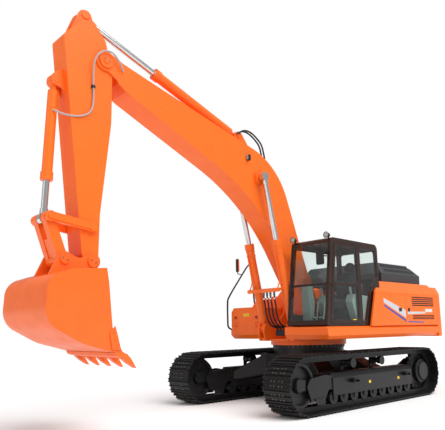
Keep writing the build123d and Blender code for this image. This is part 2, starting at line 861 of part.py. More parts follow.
def door_outline(shrink):
    bottom = cab_floor + 40 + shrink
    top = 3035 - shrink
    lean = (cab_front_at(top) - cab_front_at(bottom)) / (top - bottom)
    front_low = 1110 - shrink
    return outline([
        (120 + shrink, bottom, 60), (front_low, bottom, 60),
        (front_low + lean * (top - bottom), top, 70), (120 + shrink, top, 70),
    ])


def door_window(low, high):
    lean = (cab_front_at(high) - cab_front_at(low)) / (high - low)
    front = 1035 + lean * (low - cab_floor - 40)
    return outline([
        (190, low, 40), (front, low, 40), (front + lean * (high - low), high, 40), (190, high, 40),
    ])


def side_window(z_low, z_high):
    front_low = cab_front_at(z_low) - 95
    front_high = cab_front_at(z_high) - 95
    return outline([(-480, z_low, 50), (front_low, z_low, 50), (front_high, z_high, 60), (-480, z_high, 60)])


front_lean = degrees(atan2(230.0, 3110.0 - cab_floor))
cab_middle = (cab_inner + cab_outer) / 2


def front_plane():
    """Plane of the leaning front face, its Y axis up the glass and X to the left."""
    return Plane(
        origin=(cab_front_at(cab_floor), cab_middle, cab_floor),
        x_dir=(0, 1, 0),
        z_dir=(cos(radians(front_lean)), 0, sin(radians(front_lean))),
    )


def front_window(low, high):
    half = (cab_outer - cab_inner) / 2 - cab_post
    return outline([(-half, low, 50), (half, low, 50), (half, high, 50), (-half, high, 50)])


screen_low = (110.0, 760.0)
screen_high = (800.0, 1570.0)


def cut_window(shell, plane, face, depth):
    """Opening through a wall with a stepped rebate that the pane sits in."""
    shell -= extrude(plane * face, depth, both=True)
    shell -= extrude(plane * offset(face, rebate), rebate, dir=-plane.z_dir)
    return shell


def pane(plane, face):
    inset = offset(face, rebate - seat_gap)
    placed = extrude(plane.offset(-rebate) * inset, glass_thickness, dir=plane.z_dir)
    return placed


left_wall = Plane.XZ.offset(-cab_outer)
right_wall = Plane(origin=(0, cab_inner, 0), x_dir=(1, 0, 0), z_dir=(0, -1, 0))


def make_cab_shell():
    """Hollow cab with its posts, floor and roof, open at the door and the windows."""
    outer = side_plate(make_cab_body_outline(), cab_inner, cab_outer)
    inner_face = offset(make_cab_body_outline(), -cab_wall)
    shell = outer - side_plate(inner_face, cab_inner + cab_wall, cab_outer - cab_wall)
    for low, high in (screen_low, screen_high):
        shell = cut_window(shell, front_plane(), front_window(low, high), 120)
    shell -= side_plate(door_outline(-door_gap), cab_outer - cab_wall - 5, cab_outer + 5)
    left = Plane(origin=(0, cab_outer, 0), x_dir=(-1, 0, 0), z_dir=(0, 1, 0))
    rear_quarter = mirror(window_left_rear(), about=Plane.YZ)
    shell = cut_window(shell, left, rear_quarter, 80)
    shell = cut_window(shell, right_wall, side_window(1700, 2980), 80)
    rear = Plane(origin=(cab_rear + 2, cab_middle, 0), x_dir=(0, -1, 0), z_dir=(-1, 0, 0))
    half = (cab_outer - cab_inner) / 2 - cab_post
    rear_face = outline([(-half, 2420, 50), (half, 2420, 50), (half, 2980, 50), (-half, 2980, 50)])
    shell = cut_window(shell, rear, rear_face, 80)
    return shell


def make_cab_glass():
    left = Plane(origin=(0, cab_outer, 0), x_dir=(-1, 0, 0), z_dir=(0, 1, 0))
    rear = Plane(origin=(cab_rear + 2, cab_middle, 0), x_dir=(0, -1, 0), z_dir=(-1, 0, 0))
    half = (cab_outer - cab_inner) / 2 - cab_post
    rear_face = outline([(-half, 2420, 50), (half, 2420, 50), (half, 2980, 50), (-half, 2980, 50)])
    panes = [pane(front_plane(), front_window(*screen_low))]
    panes.append(pane(front_plane(), front_window(*screen_high)))
    panes.append(pane(left, mirror(window_left_rear(), about=Plane.YZ)))
    panes.append(pane(right_wall, side_window(1700, 2980)))
    panes.append(pane(rear, rear_face))
    return Compound([solid for piece in panes for solid in piece.solids()])


door_windows = ((1590.0, 2215.0), (2285.0, 2975.0))


def make_cab_door():
    """Door frame with two window openings, a handle and its hinges on the rear edge."""
    door = side_plate(door_outline(0), cab_outer - 42, cab_outer + 4)
    left = Plane(origin=(0, cab_outer + 4, 0), x_dir=(-1, 0, 0), z_dir=(0, 1, 0))
    for low, high in door_windows:
        door = cut_window(door, left, mirror(door_window(low, high), about=Plane.YZ), 80)
    handle = [(1045, cab_outer, 2235), (1045, cab_outer + 40, 2235), (925, cab_outer + 40, 2235), (925, cab_outer, 2235)]
    door += pipe_run(handle, 9, 15)
    return door


def make_door_glass():
    left = Plane(origin=(0, cab_outer + 4, 0), x_dir=(-1, 0, 0), z_dir=(0, 1, 0))
    panes = [pane(left, mirror(door_window(low, high), about=Plane.YZ)) for low, high in door_windows]
    return Compound([solid for piece in panes for solid in piece.solids()])


def make_seat():
    """Driver's seat on its suspension base, with headrest and arm rests."""
    floor = cab_floor + cab_wall
    middle = cab_middle
    base = block(-180, 180, middle - 170, middle + 170, floor + seat_gap, floor + 260)
    cushion = fillet(block(-230, 290, middle - 250, middle + 250, floor + 259, floor + 390).edges(), 40)
    back_face = outline([(-180, floor + 360, 40), (-330, floor + 1030, 50), (-210, floor + 1040, 50), (-60, floor + 380, 40)])
    back = side_plate(back_face, middle - 235, middle + 235)
    head_face = outline([(-320, floor + 1020, 20), (-350, floor + 1240, 40), (-250, floor + 1240, 40), (-235, floor + 1020, 20)])
    head = side_plate(head_face, middle - 130, middle + 130)
    return base + cushion + back + head


def make_consoles():
    """Side consoles with joysticks, the front column with the monitor, and the pedals."""
    floor = cab_floor + cab_wall
    pieces = []
    for side in (-1, 1):
        y = cab_middle + side * 345
        profile = outline([
            (-320, floor + seat_gap, 20), (-320, floor + 520, 60), (250, floor + 560, 60), (330, floor + 420, 50),
            (160, floor + seat_gap, 20),
        ])
        body = side_plate(profile, y - 75, y + 75)
        body += bar_between((230, y, floor + 540), (260, y, floor + 720), 22)
        pieces.append(body)
    monitor_face = outline([(700, floor + seat_gap, 20), (640, floor + 420, 40), (700, floor + 780, 40), (820, floor + 760, 40), (800, floor + seat_gap, 20)])
    pieces.append(side_plate(monitor_face, cab_inner + cab_wall + 10, cab_inner + cab_wall + 190))
    for side in (-1, 1):
        y = cab_middle + side * 80
        pedal = outline([(720, floor + seat_gap, 8), (900, floor + 130, 8), (915, floor + 110, 8), (760, floor + seat_gap, 8)])
        lever = side_plate(pedal, y - 45, y + 45)
        lever += bar_between((800, y, floor + 60), (720, y, floor + 420), 12)
        pieces.append(lever)
    return Compound([solid for piece in pieces for solid in piece.solids()])


# Boom, arm and bucket

def make_boom():
    """Bent box boom with foot hub, cylinder bosses, tip fork and the arm cylinder bracket."""
    half = boom_width / 2
    fx, fz = boom_foot
    tx, tz = boom_tip
    profile = outline([
        (fx - 128, fz + 60, 0), (1064, 4795, 1430), (4330, 5648, 900), (4800, 5775, 60),
        (4905, 5430, 60), (4673, 5275, 500), (1652, 3975, 4200), (fx + 120, fz - 70, 0),
    ])
    body = side_plate(profile, -half, half)
    tip = outline([
        (4500, 5640, 0), (4860, 5805, 150), (tx - 45, tz + 165, 0), (tx - 45, tz - 165, 0), (4560, 5255, 0),
    ])
    fork = side_plate(tip, -half, half) + bar_y(boom_tip, boom_tip_radius, -half, half)
    gap = outline([
        (tx - 375, tz + 400, 0), (tx - 375, tz - 25, 30), (tx - 300, tz - 45, 20), (tx - 300, tz - 240, 40),
        (tx - 620, tz - 870, 0), (tx + 400, tz - 870, 0), (tx + 400, tz + 400, 0),
    ])
    inner = half - boom_plate
    body += fork
    body -= side_plate(gap, -inner, inner)
    for side in (-1, 1):
        outer = side * (half + boom_tip_boss)
        body += bar_y(boom_tip, 125, min(side * inner, outer), max(side * inner, outer))
    foot_half = boom_foot_width / 2
    foot = bar_y(boom_foot, boom_foot_radius, -foot_half, foot_half)
    gusset_face = outline([
        (fx - 128, fz + 60, 0), (fx + 110, fz + 640, 60), (fx + 350, fz + 560, 60), (fx + 130, fz - 60, 0),
    ])
    body += foot
    body += side_plate(gusset_face, -foot_half + 6, foot_half - 6)
    body -= bar_y(boom_foot, 55 + bore_gap, -foot_half - 1, foot_half + 1)
    boss_half = boom_boss_reach
    body += bar_y(boom_cylinder_eye, boom_boss_radius, -boss_half + 20, boss_half - 20)
    body += bar_y(boom_cylinder_eye, 62, -boss_half, boss_half)
    ax, az = arm_cylinder_foot
    bracket = outline([
        (ax - 330, az - 230, 0), (ax - 80, az + 82, 90), (ax + 84, az + 82, 82), (ax + 110, az - 70, 40),
        (ax + 280, az - 130, 0), (ax + 200, az - 220, 0),
    ])
    for side in (-1, 1):
        inner_face = side * (arm_eye_width / 2 + side_gap)
        outer_face = inner_face + side * 42
        body += side_plate(bracket, min(inner_face, outer_face), max(inner_face, outer_face))
    body += bar_y(arm_cylinder_foot, 45, -118, 118)
    body += bar_y(boom_tip, 60, -half - boom_tip_boss - 12, half + boom_tip_boss + 12)
    return body


def make_arm():
    """Box arm with its hub, the crank ears above and the bucket cylinder bracket in front."""
    half = arm_width / 2
    nx, nz = bucket_pin
    profile = outline([
        (5105, 6055, 120), (5330, 6330, 60), (5520, 6290, 0), (5825, 5935, 90),
        (5425, 2600, 40), (nx + 100, nz - 62, 0), (nx - 112, nz - 38, 0), (5140, 3200, 0),
        (4975, 4700, 900), (4975, 5500, 100),
    ])
    body = side_plate(profile, -half, half)
    hub_half = half - 0.0
    body += bar_y(boom_tip, arm_hub_radius, -hub_half, hub_half)
    body += bar_y(bucket_pin, arm_nose_radius, -half, half)
    body += bar_y(rocker_pin, 95, -half - 8, half + 8)
    body -= bar_y(boom_tip, 60 + bore_gap, -300, 300)
    body -= bar_y(bucket_pin, 45 + bore_gap, -300, 300)
    body -= bar_y(rocker_pin, 45 + bore_gap, -300, 300)
    cx, cz = arm_cylinder_eye
    ear = outline([
        (5100, 5990, 0), (5285, 6330, 120), (cx - 60, cz + 102, 88), (cx + 95, cz + 60, 92),
        (5700, 6040, 0), (5600, 5850, 0),
    ])
    pocket = bar_y(arm_cylinder_eye, 400, -crank_ear_gap / 2, crank_ear_gap / 2)
    body -= pocket
    for side in (-1, 1):
        inner = side * crank_ear_gap / 2
        outer = inner + side * crank_ear_plate
        body += side_plate(ear, min(inner, outer), max(inner, outer))
        body += bar_y(arm_cylinder_eye, 70, min(inner, outer + side * 14), max(inner, outer + side * 14))
    hx, hz = bucket_cylinder_foot
    bracket = outline([
        (hx - 150, hz - 200, 0), (hx - 92, hz - 90, 50), (hx + 78, hz - 66, 76), (hx + 72, hz + 80, 76),
        (hx - 60, hz + 190, 0), (hx - 120, hz + 190, 0),
    ])
    for side in (-1, 1):
        inner = side * (bucket_eye_width / 2 + side_gap)
        outer = inner + side * 38
        body += side_plate(bracket, min(inner, outer), max(inner, outer))
    body += bar_y(bucket_cylinder_foot, 38, -100, 100)
    return body


def cylinder_frame(base, tip):
    """Unit vector from a cylinder's base pin to its rod pin, in X and Z."""
    length = hypot(tip[0] - base[0], tip[1] - base[1])
    return (tip[0] - base[0]) / length, (tip[1] - base[1]) / length, length


def make_cylinder_tube(base, tip, y, radius, rod_radius, length, eye_width, pin_radius):
    """Cylinder tube with base eye, gland collar and bored inside for its rod."""
    ux, uz, span = cylinder_frame(base, tip)
    eye_radius = pin_radius + eye_thickness

    def along(distance):
        return (base[0] + ux * distance, y, base[1] + uz * distance)

    tube = bar_between(along(eye_radius + neck_length), along(length), radius)
    tube += bar_between(along(eye_radius - 12), along(eye_radius + neck_length + 1), eye_width / 2 - 2)
    tube += bar_between(along(length - gland_length), along(length), radius + gland_step)
    tube += bar_y(base, eye_radius, y - eye_width / 2, y + eye_width / 2)
    tube -= bar_between(along(eye_radius + neck_length + 30), along(length + 1), rod_radius + bore_gap)
    tube -= bar_y(base, pin_radius + bore_gap, y - eye_width, y + eye_width)
    return tube


def make_cylinder_rod(base, tip, y, rod_radius, rod_length, eye_width, pin_radius):
    """Polished rod with its eye and the pin that rides in it."""
    ux, uz, span = cylinder_frame(base, tip)
    eye_radius = pin_radius + eye_thickness

    def along(distance):
        return (tip[0] - ux * distance, y, tip[1] - uz * distance)

    rod = bar_between(along(eye_radius - 14), along(rod_length), rod_radius)
    rod += bar_between(along(eye_radius - 14), along(eye_radius + 60), rod_radius + 12)
    rod += bar_y(tip, eye_radius, y - eye_width / 2, y + eye_width / 2)
    rod += bar_y(tip, pin_radius, y - eye_width / 2 - pin_proud, y + eye_width / 2 + pin_proud)
    return rod


boom_cylinder = (boom_cylinder_foot, boom_cylinder_eye)
arm_cylinder = (arm_cylinder_foot, arm_cylinder_eye)
bucket_cylinder = (bucket_cylinder_foot, rocker_tip)


def make_boom_tubes():
    tube = make_cylinder_tube(*boom_cylinder, boom_cylinder_offset, boom_tube_radius, boom_rod_radius,
                              boom_tube_length, boom_eye_width, 42)
    return both_sides(tube)


def make_boom_rods():
    rod = make_cylinder_rod(*boom_cylinder, boom_cylinder_offset, boom_rod_radius, boom_rod_length,
                            boom_eye_width, 48)
    rod += bar_y(boom_cylinder_eye, 48, boom_boss_reach + 0.3, boom_cylinder_offset)
    return both_sides(rod)


def make_arm_tube():
    return make_cylinder_tube(*arm_cylinder, 0, arm_tube_radius, arm_rod_radius, arm_tube_length,
                              arm_eye_width, 45)


def make_arm_rod():
    return make_cylinder_rod(*arm_cylinder, 0, arm_rod_radius, arm_rod_length, arm_eye_width - 4, 46)


def make_bucket_tube():
    return make_cylinder_tube(*bucket_cylinder, 0, bucket_tube_radius, bucket_rod_radius,
                              bucket_tube_length, bucket_eye_width, 38)


def make_bucket_rod():
    return make_cylinder_rod(*bucket_cylinder, 0, bucket_rod_radius, bucket_rod_length, bucket_eye_width, 40)


def strap(start, end, start_radius, end_radius, y_low, y_high):
    """Flat bar with round ends about two pins."""
    ux, uz, span = cylinder_frame(start, end)
    lean = (start_radius - end_radius) / span
    nx, nz = -uz, ux

    def edge(pin, radius, side):
        return (pin[0] + side * nx * radius, pin[1] + side * nz * radius, 0)

    face = outline([
        edge(start, start_radius * 0.86, 1), edge(end, end_radius * 0.86, 1),
        edge(end, end_radius * 0.86, -1), edge(start, start_radius * 0.86, -1),
    ])
    bar = side_plate(face, y_low, y_high)
    bar += bar_y(start, start_radius, y_low, y_high)
    bar += bar_y(end, end_radius, y_low, y_high)
    return bar


def make_rocker():
    """Two rocker bars outside the arm, joined by the pin through it."""
    inner = rocker_gap / 2
    outer = inner + rocker_plate
    near = strap(rocker_pin, rocker_tip, rocker_boss_radius, rocker_boss_radius - 6, inner, outer)
    near += strap(rocker_pin, rocker_tip, 50, 44, outer - 1, outer + 12)
    near += bar_y(rocker_tip, 40, 80, outer + 16)
    near += bar_y(rocker_pin, 62, outer - 1, outer + 16)
    rocker = near + mirror(near, about=Plane.XZ)
    rocker += bar_y(rocker_pin, 45, -inner - 1, inner + 1)
    return rocker


def make_bucket_link():
    """Box link from the rocker pin down to the bucket, with a lifting hook on its face."""
    ux, uz, span = cylinder_frame(rocker_tip, bucket_link_pin)
    plates = []
    for side in (-1, 1):
        inner, outer = side * 78, side * 205
        plate = strap(rocker_tip, bucket_link_pin, 82, link_boss_radius, min(inner, outer), max(inner, outer))
        plates.append(plate)
    link = plates[0] + plates[1]
    px, pz = rocker_tip
    nx, nz = -uz, ux
    web = outline([
        (px + ux * 300 + nx * 60, pz + uz * 300 + nz * 60, 0),
        (px + ux * span + nx * 60, pz + uz * span + nz * 60, 0),
        (px + ux * span - nx * 60, pz + uz * span - nz * 60, 0),
        (px + ux * 300 - nx * 60, pz + uz * 300 - nz * 60, 0),
    ])
    link += side_plate(web, -80, 80)
    link += bar_y(bucket_link_pin, link_boss_radius, -205, 205)
    link -= bar_y(rocker_tip, 40 + bore_gap, -300, 300)
    hook_start = (px + ux * 330 - nx * 60, 0, pz + uz * 330 - nz * 60)
    return link


shell_corners = [
    (5300, 2330, 0), (5800, 2290, 150), (6160, 2170, 260), (6190, 1580, 330), (5640, 1290, 700),
    (5010, 1120, 0),
]


def bucket_face():
    """Side view of the bucket body, closed across its mouth."""
    return outline(shell_corners + [(5195, 1500, 60), (5262, 2120, 60)])


def make_bucket():
    """Bucket shell with side plates, ears, lip plate, side cutters and wear strips."""
    half = bucket_width / 2
    body = side_plate(bucket_face(), -half, half)
    cavity_face = outline([
        (5100, 2305, 0), (5790, 2265, 140), (6136, 2150, 240), (6162, 1598, 310), (5632, 1316, 680),
        (4980, 1142, 0), (4700, 1200, 0), (4700, 2305, 0),
    ])
    body -= side_plate(cavity_face, -half + bucket_side, half - bucket_side)
    lip = outline([
        (5160, 1155, 0), (5030, 1172, 0), (4905, 1085, 0), (4930, 1055, 0), (5130, 1108, 0),
    ])
    body += side_plate(lip, -half, half)
    nx, nz = bucket_pin
    gx, gz = bucket_link_pin
    ear = outline([
        (nx + 30, nz + 114, 0), (nx + 225, nz + 20, 150), (gx - 40, gz + 102, 0), (gx + 108, gz + 20, 0),
        (5950, 2225, 60), (5900, 2150, 0), (5330, 2250, 0), (nx - 112, nz - 36, 0),
    ])
    for side in (-1, 1):
        inner = side * bucket_ear_gap / 2
        outer = inner + side * bucket_ear_plate
        body += side_plate(ear, min(inner, outer), max(inner, outer))
        body += bar_y(bucket_pin, bucket_ear_radius, min(inner, outer), max(inner, outer))
        body += bar_y(bucket_link_pin, link_ear_radius, min(inner, outer), max(inner, outer))
        body += bar_y(bucket_link_pin, 75, min(inner + side * 2, outer + side * 26), max(inner + side * 2, outer + side * 26))
        body += bar_y(bucket_pin, 90, min(inner + side * 2, outer + side * 26), max(inner + side * 2, outer + side * 26))
    body += bar_y(bucket_pin, 45, -bucket_ear_gap / 2 - 2, bucket_ear_gap / 2 + 2)
    return body


def make_teeth():
    """Five teeth on the lip and the bolted side cutters."""
    lip_x, lip_z = 4952.0, 1088.0
    aim_x, aim_z = 4777.0, 905.0
    heading = degrees(atan2(aim_z - lip_z, aim_x - lip_x))
    half = bucket_width / 2
    plane = Plane(origin=(lip_x, 0, lip_z), x_dir=(cos(radians(heading)), 0, sin(radians(heading))), z_dir=(0, -1, 0))
    pieces = []
    for i in range(tooth_count):
        y = -half + tooth_width / 2 + i * (bucket_width - tooth_width) / (tooth_count - 1)
        face = outline([(-40, -30, 0), (-40, 60, 10), (70, 46, 0), (tooth_length, 5, 0), (tooth_length, -5, 0), (60, -34, 0)])
        tooth = extrude(plane * face, tooth_width / 2, both=True)
        pieces.append(Pos(0, y, 0) * tooth)
    return pieces


def save(name, shape):
    export_step(shape, "parts/" + name + ".step")


def main():
    os.makedirs("parts", exist_ok=True)
    for side, name in ((1, "left"), (-1, "right")):
        centre = side * track_gauge / 2
        save("track_" + name, make_track(centre))
        save("track_rollers_" + name, make_rollers(centre))
        save("idler_" + name, make_idler(centre))
        save("final_drive_" + name, make_final_drive(centre, side))
        save("track_frame_" + name, make_track_frame(centre, side))
    save("car_body", make_car_body())
    save("slew_ring", make_lower_race())
    save("house_frame", make_house_frame())
    save("swing_drive", make_swing_drive())
    save("engine", make_engine())
    save("radiator", make_radiator())
    save("left_house", make_left_house())
    save("left_front_door", make_left_front_door())
    save("left_rear_door", make_left_rear_door())
    save("right_house", make_right_house())
    save("right_door", make_right_door())
    save("fuel_tank", make_fuel_tank())
    save("oil_tank", make_oil_tank())
    save("tool_box", make_tool_box())
    save("tool_box_lid", make_tool_box_lid())
    save("engine_hood", make_engine_hood())
    save("counterweight", make_counterweight())
    save("cab_shell", make_cab_shell())
    save("cab_glass", make_cab_glass())
    save("cab_door", make_cab_door())
    save("door_glass", make_door_glass())
    save("driver_seat", make_seat())
    save("cab_consoles", make_consoles())
    save("boom", make_boom())
    save("arm", make_arm())
    save("boom_cylinder_tubes", make_boom_tubes())
    save("boom_cylinder_rods", make_boom_rods())
    save("arm_cylinder_tube", make_arm_tube())
    save("arm_cylinder_rod", make_arm_rod())
    save("bucket_cylinder_tube", make_bucket_tube())
    save("bucket_cylinder_rod", make_bucket_rod())
    save("rocker_bars", make_rocker())
    save("bucket_link", make_bucket_link())
    bucket = make_bucket()
    for tooth in make_teeth():
        bucket += tooth
    save("bucket", bucket)


main()
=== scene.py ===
import bpy
import bmesh
from math import cos, hypot, pi, radians, sin
from mathutils import Matrix, Vector


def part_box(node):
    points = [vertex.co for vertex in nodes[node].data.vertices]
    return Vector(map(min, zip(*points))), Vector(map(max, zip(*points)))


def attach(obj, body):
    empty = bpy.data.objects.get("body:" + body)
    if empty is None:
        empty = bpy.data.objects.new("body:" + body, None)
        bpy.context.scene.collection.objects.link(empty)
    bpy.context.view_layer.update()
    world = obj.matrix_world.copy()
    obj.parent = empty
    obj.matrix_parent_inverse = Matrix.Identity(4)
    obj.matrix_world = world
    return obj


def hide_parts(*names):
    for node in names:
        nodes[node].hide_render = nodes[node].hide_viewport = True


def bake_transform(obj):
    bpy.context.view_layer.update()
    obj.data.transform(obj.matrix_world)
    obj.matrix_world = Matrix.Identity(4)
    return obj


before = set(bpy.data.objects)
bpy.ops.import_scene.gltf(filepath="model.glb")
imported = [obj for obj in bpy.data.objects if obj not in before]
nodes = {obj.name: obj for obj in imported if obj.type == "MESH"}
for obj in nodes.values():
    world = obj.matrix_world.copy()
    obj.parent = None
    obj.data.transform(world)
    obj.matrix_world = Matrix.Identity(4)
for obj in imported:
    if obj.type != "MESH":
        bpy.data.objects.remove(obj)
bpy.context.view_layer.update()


# Studio: a plain pale floor, a white backdrop and one broad soft light.
# The camera stands off the left front corner at eye height, as in the photo.
# The floor is matt so that only the machine's soft shadow shows on it.
floor_mesh = bpy.data.meshes.new("studio_floor")
floor_mesh.from_pydata([(-90, -90, 0), (90, -90, 0), (90, 90, 0), (-90, 90, 0)], [], [(0, 1, 2, 3)])
floor = bpy.data.objects.new("studio_floor", floor_mesh)
bpy.context.scene.collection.objects.link(floor)
floor_paint = bpy.data.materials.new("floor_paint")
floor_paint.use_nodes = True
floor_paint.node_tree.nodes["Principled BSDF"].inputs["Base Color"].default_value = (0.93, 0.93, 0.93, 1)
floor_paint.node_tree.nodes["Principled BSDF"].inputs["Roughness"].default_value = 1.0
floor_paint.node_tree.nodes["Principled BSDF"].inputs["Specular IOR Level"].default_value = 0.0
floor_mesh.materials.append(floor_paint)

world = bpy.data.worlds.new("studio_world")
bpy.context.scene.world = world
world.use_nodes = True
world_tree = world.node_tree
world_light = world_tree.nodes["Background"]
world_light.inputs["Color"].default_value = (1.0, 1.0, 1.0, 1)
world_light.inputs["Strength"].default_value = 0.46
backdrop = world_tree.nodes.new("ShaderNodeBackground")
backdrop.inputs["Color"].default_value = (1.0, 1.0, 1.0, 1)
backdrop.inputs["Strength"].default_value = 1.0
ray_kind = world_tree.nodes.new("ShaderNodeLightPath")
world_mix = world_tree.nodes.new("ShaderNodeMixShader")
world_tree.links.new(ray_kind.outputs["Is Camera Ray"], world_mix.inputs["Fac"])
world_tree.links.new(world_light.outputs["Background"], world_mix.inputs[1])
world_tree.links.new(backdrop.outputs["Background"], world_mix.inputs[2])
world_tree.links.new(world_mix.outputs["Shader"], world_tree.nodes["World Output"].inputs["Surface"])

for light_name, aim, strength, softness in (
    ("key_light", (0.10, -0.85, -1.25), 2.7, 55),
    ("side_light", (-1.0, 0.10, -0.60), 0.35, 50),
):
    lamp_data = bpy.data.lights.new(light_name, "SUN")
    lamp_data.energy = strength
    lamp_data.angle = radians(softness)
    lamp_object = bpy.data.objects.new(light_name, lamp_data)
    lamp_object.rotation_euler = Vector(aim).to_track_quat("-Z", "Y").to_euler()
    bpy.context.scene.collection.objects.link(lamp_object)

yaw, pitch, roll = radians(227.15), radians(9.89), radians(-0.97)
look = Vector((cos(pitch) * cos(yaw), cos(pitch) * sin(yaw), sin(pitch)))
level = look.cross(Vector((0, 0, 1))).normalized()
upright = level.cross(look)
right = level * cos(roll) + upright * sin(roll)
up = upright * cos(roll) - level * sin(roll)
camera_data = bpy.data.cameras.new("photo_camera")
camera_data.sensor_width = 36.0
camera_data.lens = 43.56
camera_data.shift_x = -0.0037
camera_data.shift_y = 0.0446
camera = bpy.data.objects.new("photo_camera", camera_data)
turn = Matrix((right, up, -look)).transposed()
camera_stand = (9.208, 7.358, 1.459)
camera.matrix_world = Matrix.Translation(camera_stand) @ turn.to_4x4()
bpy.context.scene.collection.objects.link(camera)
bpy.context.scene.camera = camera
bpy.context.scene.view_settings.view_transform = "Standard"


# Orange enamel on the house, boom, arm, bucket and doors: sprayed over steel plate.
# It is satin, a little uneven from the spray, rubbed paler at edges and dusty low down.
# The bucket is the same enamel, dulled and browned where it digs.
def enamel(name, base, worn, rough, speck=5.0, dirt=0.25, dirt_top=1.4, metal=0.0, edge=0.35,
           bump=0.02):
    mat = bpy.data.materials.new(name)
    mat.use_nodes = True
    tree = mat.node_tree
    bsdf = tree.nodes["Principled BSDF"]
    coord = tree.nodes.new("ShaderNodeTexCoord")
    broad = tree.nodes.new("ShaderNodeTexNoise")
    broad.inputs["Scale"].default_value = speck
    broad.inputs["Detail"].default_value = 6.0
    fine = tree.nodes.new("ShaderNodeTexNoise")
    fine.inputs["Scale"].default_value = 180.0
    fine.inputs["Detail"].default_value = 3.0
    for noise in (broad, fine):
        tree.links.new(coord.outputs["Object"], noise.inputs["Vector"])
    spread = tree.nodes.new("ShaderNodeMapRange")
    spread.inputs["From Min"].default_value = 0.42
    spread.inputs["From Max"].default_value = 0.78
    spread.inputs["To Max"].default_value = 0.45
    tree.links.new(broad.outputs["Fac"], spread.inputs["Value"])
    tone = tree.nodes.new("ShaderNodeMix")
    tone.data_type = "RGBA"
    tone.inputs["A"].default_value = (*base, 1)
    tone.inputs["B"].default_value = (*worn, 1)
    tree.links.new(spread.outputs["Result"], tone.inputs["Factor"])
    apart = tree.nodes.new("ShaderNodeSeparateXYZ")
    tree.links.new(coord.outputs["Object"], apart.inputs["Vector"])
    low = tree.nodes.new("ShaderNodeMapRange")
    low.inputs["From Min"].default_value = dirt_top
    low.inputs["From Max"].default_value = 0.0
    low.inputs["To Max"].default_value = dirt
    tree.links.new(apart.outputs["Z"], low.inputs["Value"])
    patch = tree.nodes.new("ShaderNodeMath")
    patch.operation = "MULTIPLY"
    tree.links.new(low.outputs["Result"], patch.inputs[0])
    tree.links.new(broad.outputs["Fac"], patch.inputs[1])
    dusty = tree.nodes.new("ShaderNodeMix")
    dusty.data_type = "RGBA"
    dusty.inputs["B"].default_value = (0.30, 0.27, 0.24, 1)
    tree.links.new(patch.outputs["Value"], dusty.inputs["Factor"])
    tree.links.new(tone.outputs["Result"], dusty.inputs["A"])
    rounded = tree.nodes.new("ShaderNodeBevel")
    rounded.samples = 4
    rounded.inputs["Radius"].default_value = 0.006
    facing = tree.nodes.new("ShaderNodeNewGeometry")
    across = tree.nodes.new("ShaderNodeVectorMath")
    across.operation = "DOT_PRODUCT"
    tree.links.new(rounded.outputs["Normal"], across.inputs[0])
    tree.links.new(facing.outputs["Normal"], across.inputs[1])
    rub = tree.nodes.new("ShaderNodeMapRange")
    rub.inputs["From Min"].default_value = 0.98
    rub.inputs["From Max"].default_value = 0.80
    rub.inputs["To Max"].default_value = edge
    tree.links.new(across.outputs["Value"], rub.inputs["Value"])
    rubbed = tree.nodes.new("ShaderNodeMix")
    rubbed.data_type = "RGBA"
    pale = tuple(min(1.0, channel * 1.5 + 0.05) for channel in base)
    rubbed.inputs["B"].default_value = (*pale, 1)
    tree.links.new(rub.outputs["Result"], rubbed.inputs["Factor"])
    tree.links.new(dusty.outputs["Result"], rubbed.inputs["A"])
    tree.links.new(rubbed.outputs["Result"], bsdf.inputs["Base Color"])
    gloss = tree.nodes.new("ShaderNodeMapRange")
    gloss.inputs["To Min"].default_value = rough - 0.07
    gloss.inputs["To Max"].default_value = rough + 0.12
    tree.links.new(broad.outputs["Fac"], gloss.inputs["Value"])
    tree.links.new(gloss.outputs["Result"], bsdf.inputs["Roughness"])
    skin = tree.nodes.new("ShaderNodeBump")
    skin.inputs["Strength"].default_value = bump * 10
    skin.inputs["Distance"].default_value = 0.0006
    tree.links.new(fine.outputs["Fac"], skin.inputs["Height"])
    tree.links.new(rounded.outputs["Normal"], skin.inputs["Normal"])
    tree.links.new(skin.outputs["Normal"], bsdf.inputs["Normal"])
    bsdf.inputs["Metallic"].default_value = metal
    bsdf.inputs["Specular IOR Level"].default_value = 0.35
    return mat


def coat(mat, *names):
    for name in names:
        slots = nodes[name].data.materials
        slots.clear()
        slots.append(mat)


orange = enamel("orange_enamel", (1.0, 0.165, 0.012), (0.92, 0.135, 0.009), 0.32, edge=0.18)
coat(orange, "house_frame", "left_house", "left_front_door", "left_rear_door", "right_house",
     "right_door", "fuel_tank", "oil_tank", "tool_box", "tool_box_lid", "counterweight", "boom", "arm",
     "rocker_bars", "bucket_link", "boom_cylinder_tubes", "arm_cylinder_tube", "bucket_cylinder_tube")
dug_orange = enamel("bucket_enamel", (0.94, 0.15, 0.013), (0.80, 0.115, 0.010), 0.36, speck=4.0,
                    dirt=0.12, dirt_top=2.2, edge=0.3, bump=0.05)
coat(dug_orange, "bucket")


# Black paint on the undercarriage castings, swing bearing, hood and cab.
# Castings are matt and dusty, the hood is satin and the cab's brown black is glossy.
# Chain, shoes and rollers wear to a dark dull steel.
casting = enamel("black_casting", (0.006, 0.006, 0.007), (0.013, 0.013, 0.013), 0.36, speck=9.0,
                 dirt=0.04, edge=0.5, bump=0.08)
coat(casting, "car_body", "slew_ring", "swing_drive", "track_frame_left", "track_frame_right",
     "final_drive_left", "final_drive_right", "idler_left", "idler_right",
     "track_rollers_left", "track_rollers_right")
shoe_steel = enamel("shoe_steel", (0.008, 0.008, 0.009), (0.020, 0.019, 0.018), 0.38, speck=14.0,
                    dirt=0.04, dirt_top=1.1, metal=0.3, edge=0.6, bump=0.1)
coat(shoe_steel, "track_left", "track_right")
hood_black = enamel("hood_black", (0.040, 0.041, 0.046), (0.055, 0.055, 0.058), 0.42, speck=3.0,
                    dirt=0.0)
coat(hood_black, "engine_hood")
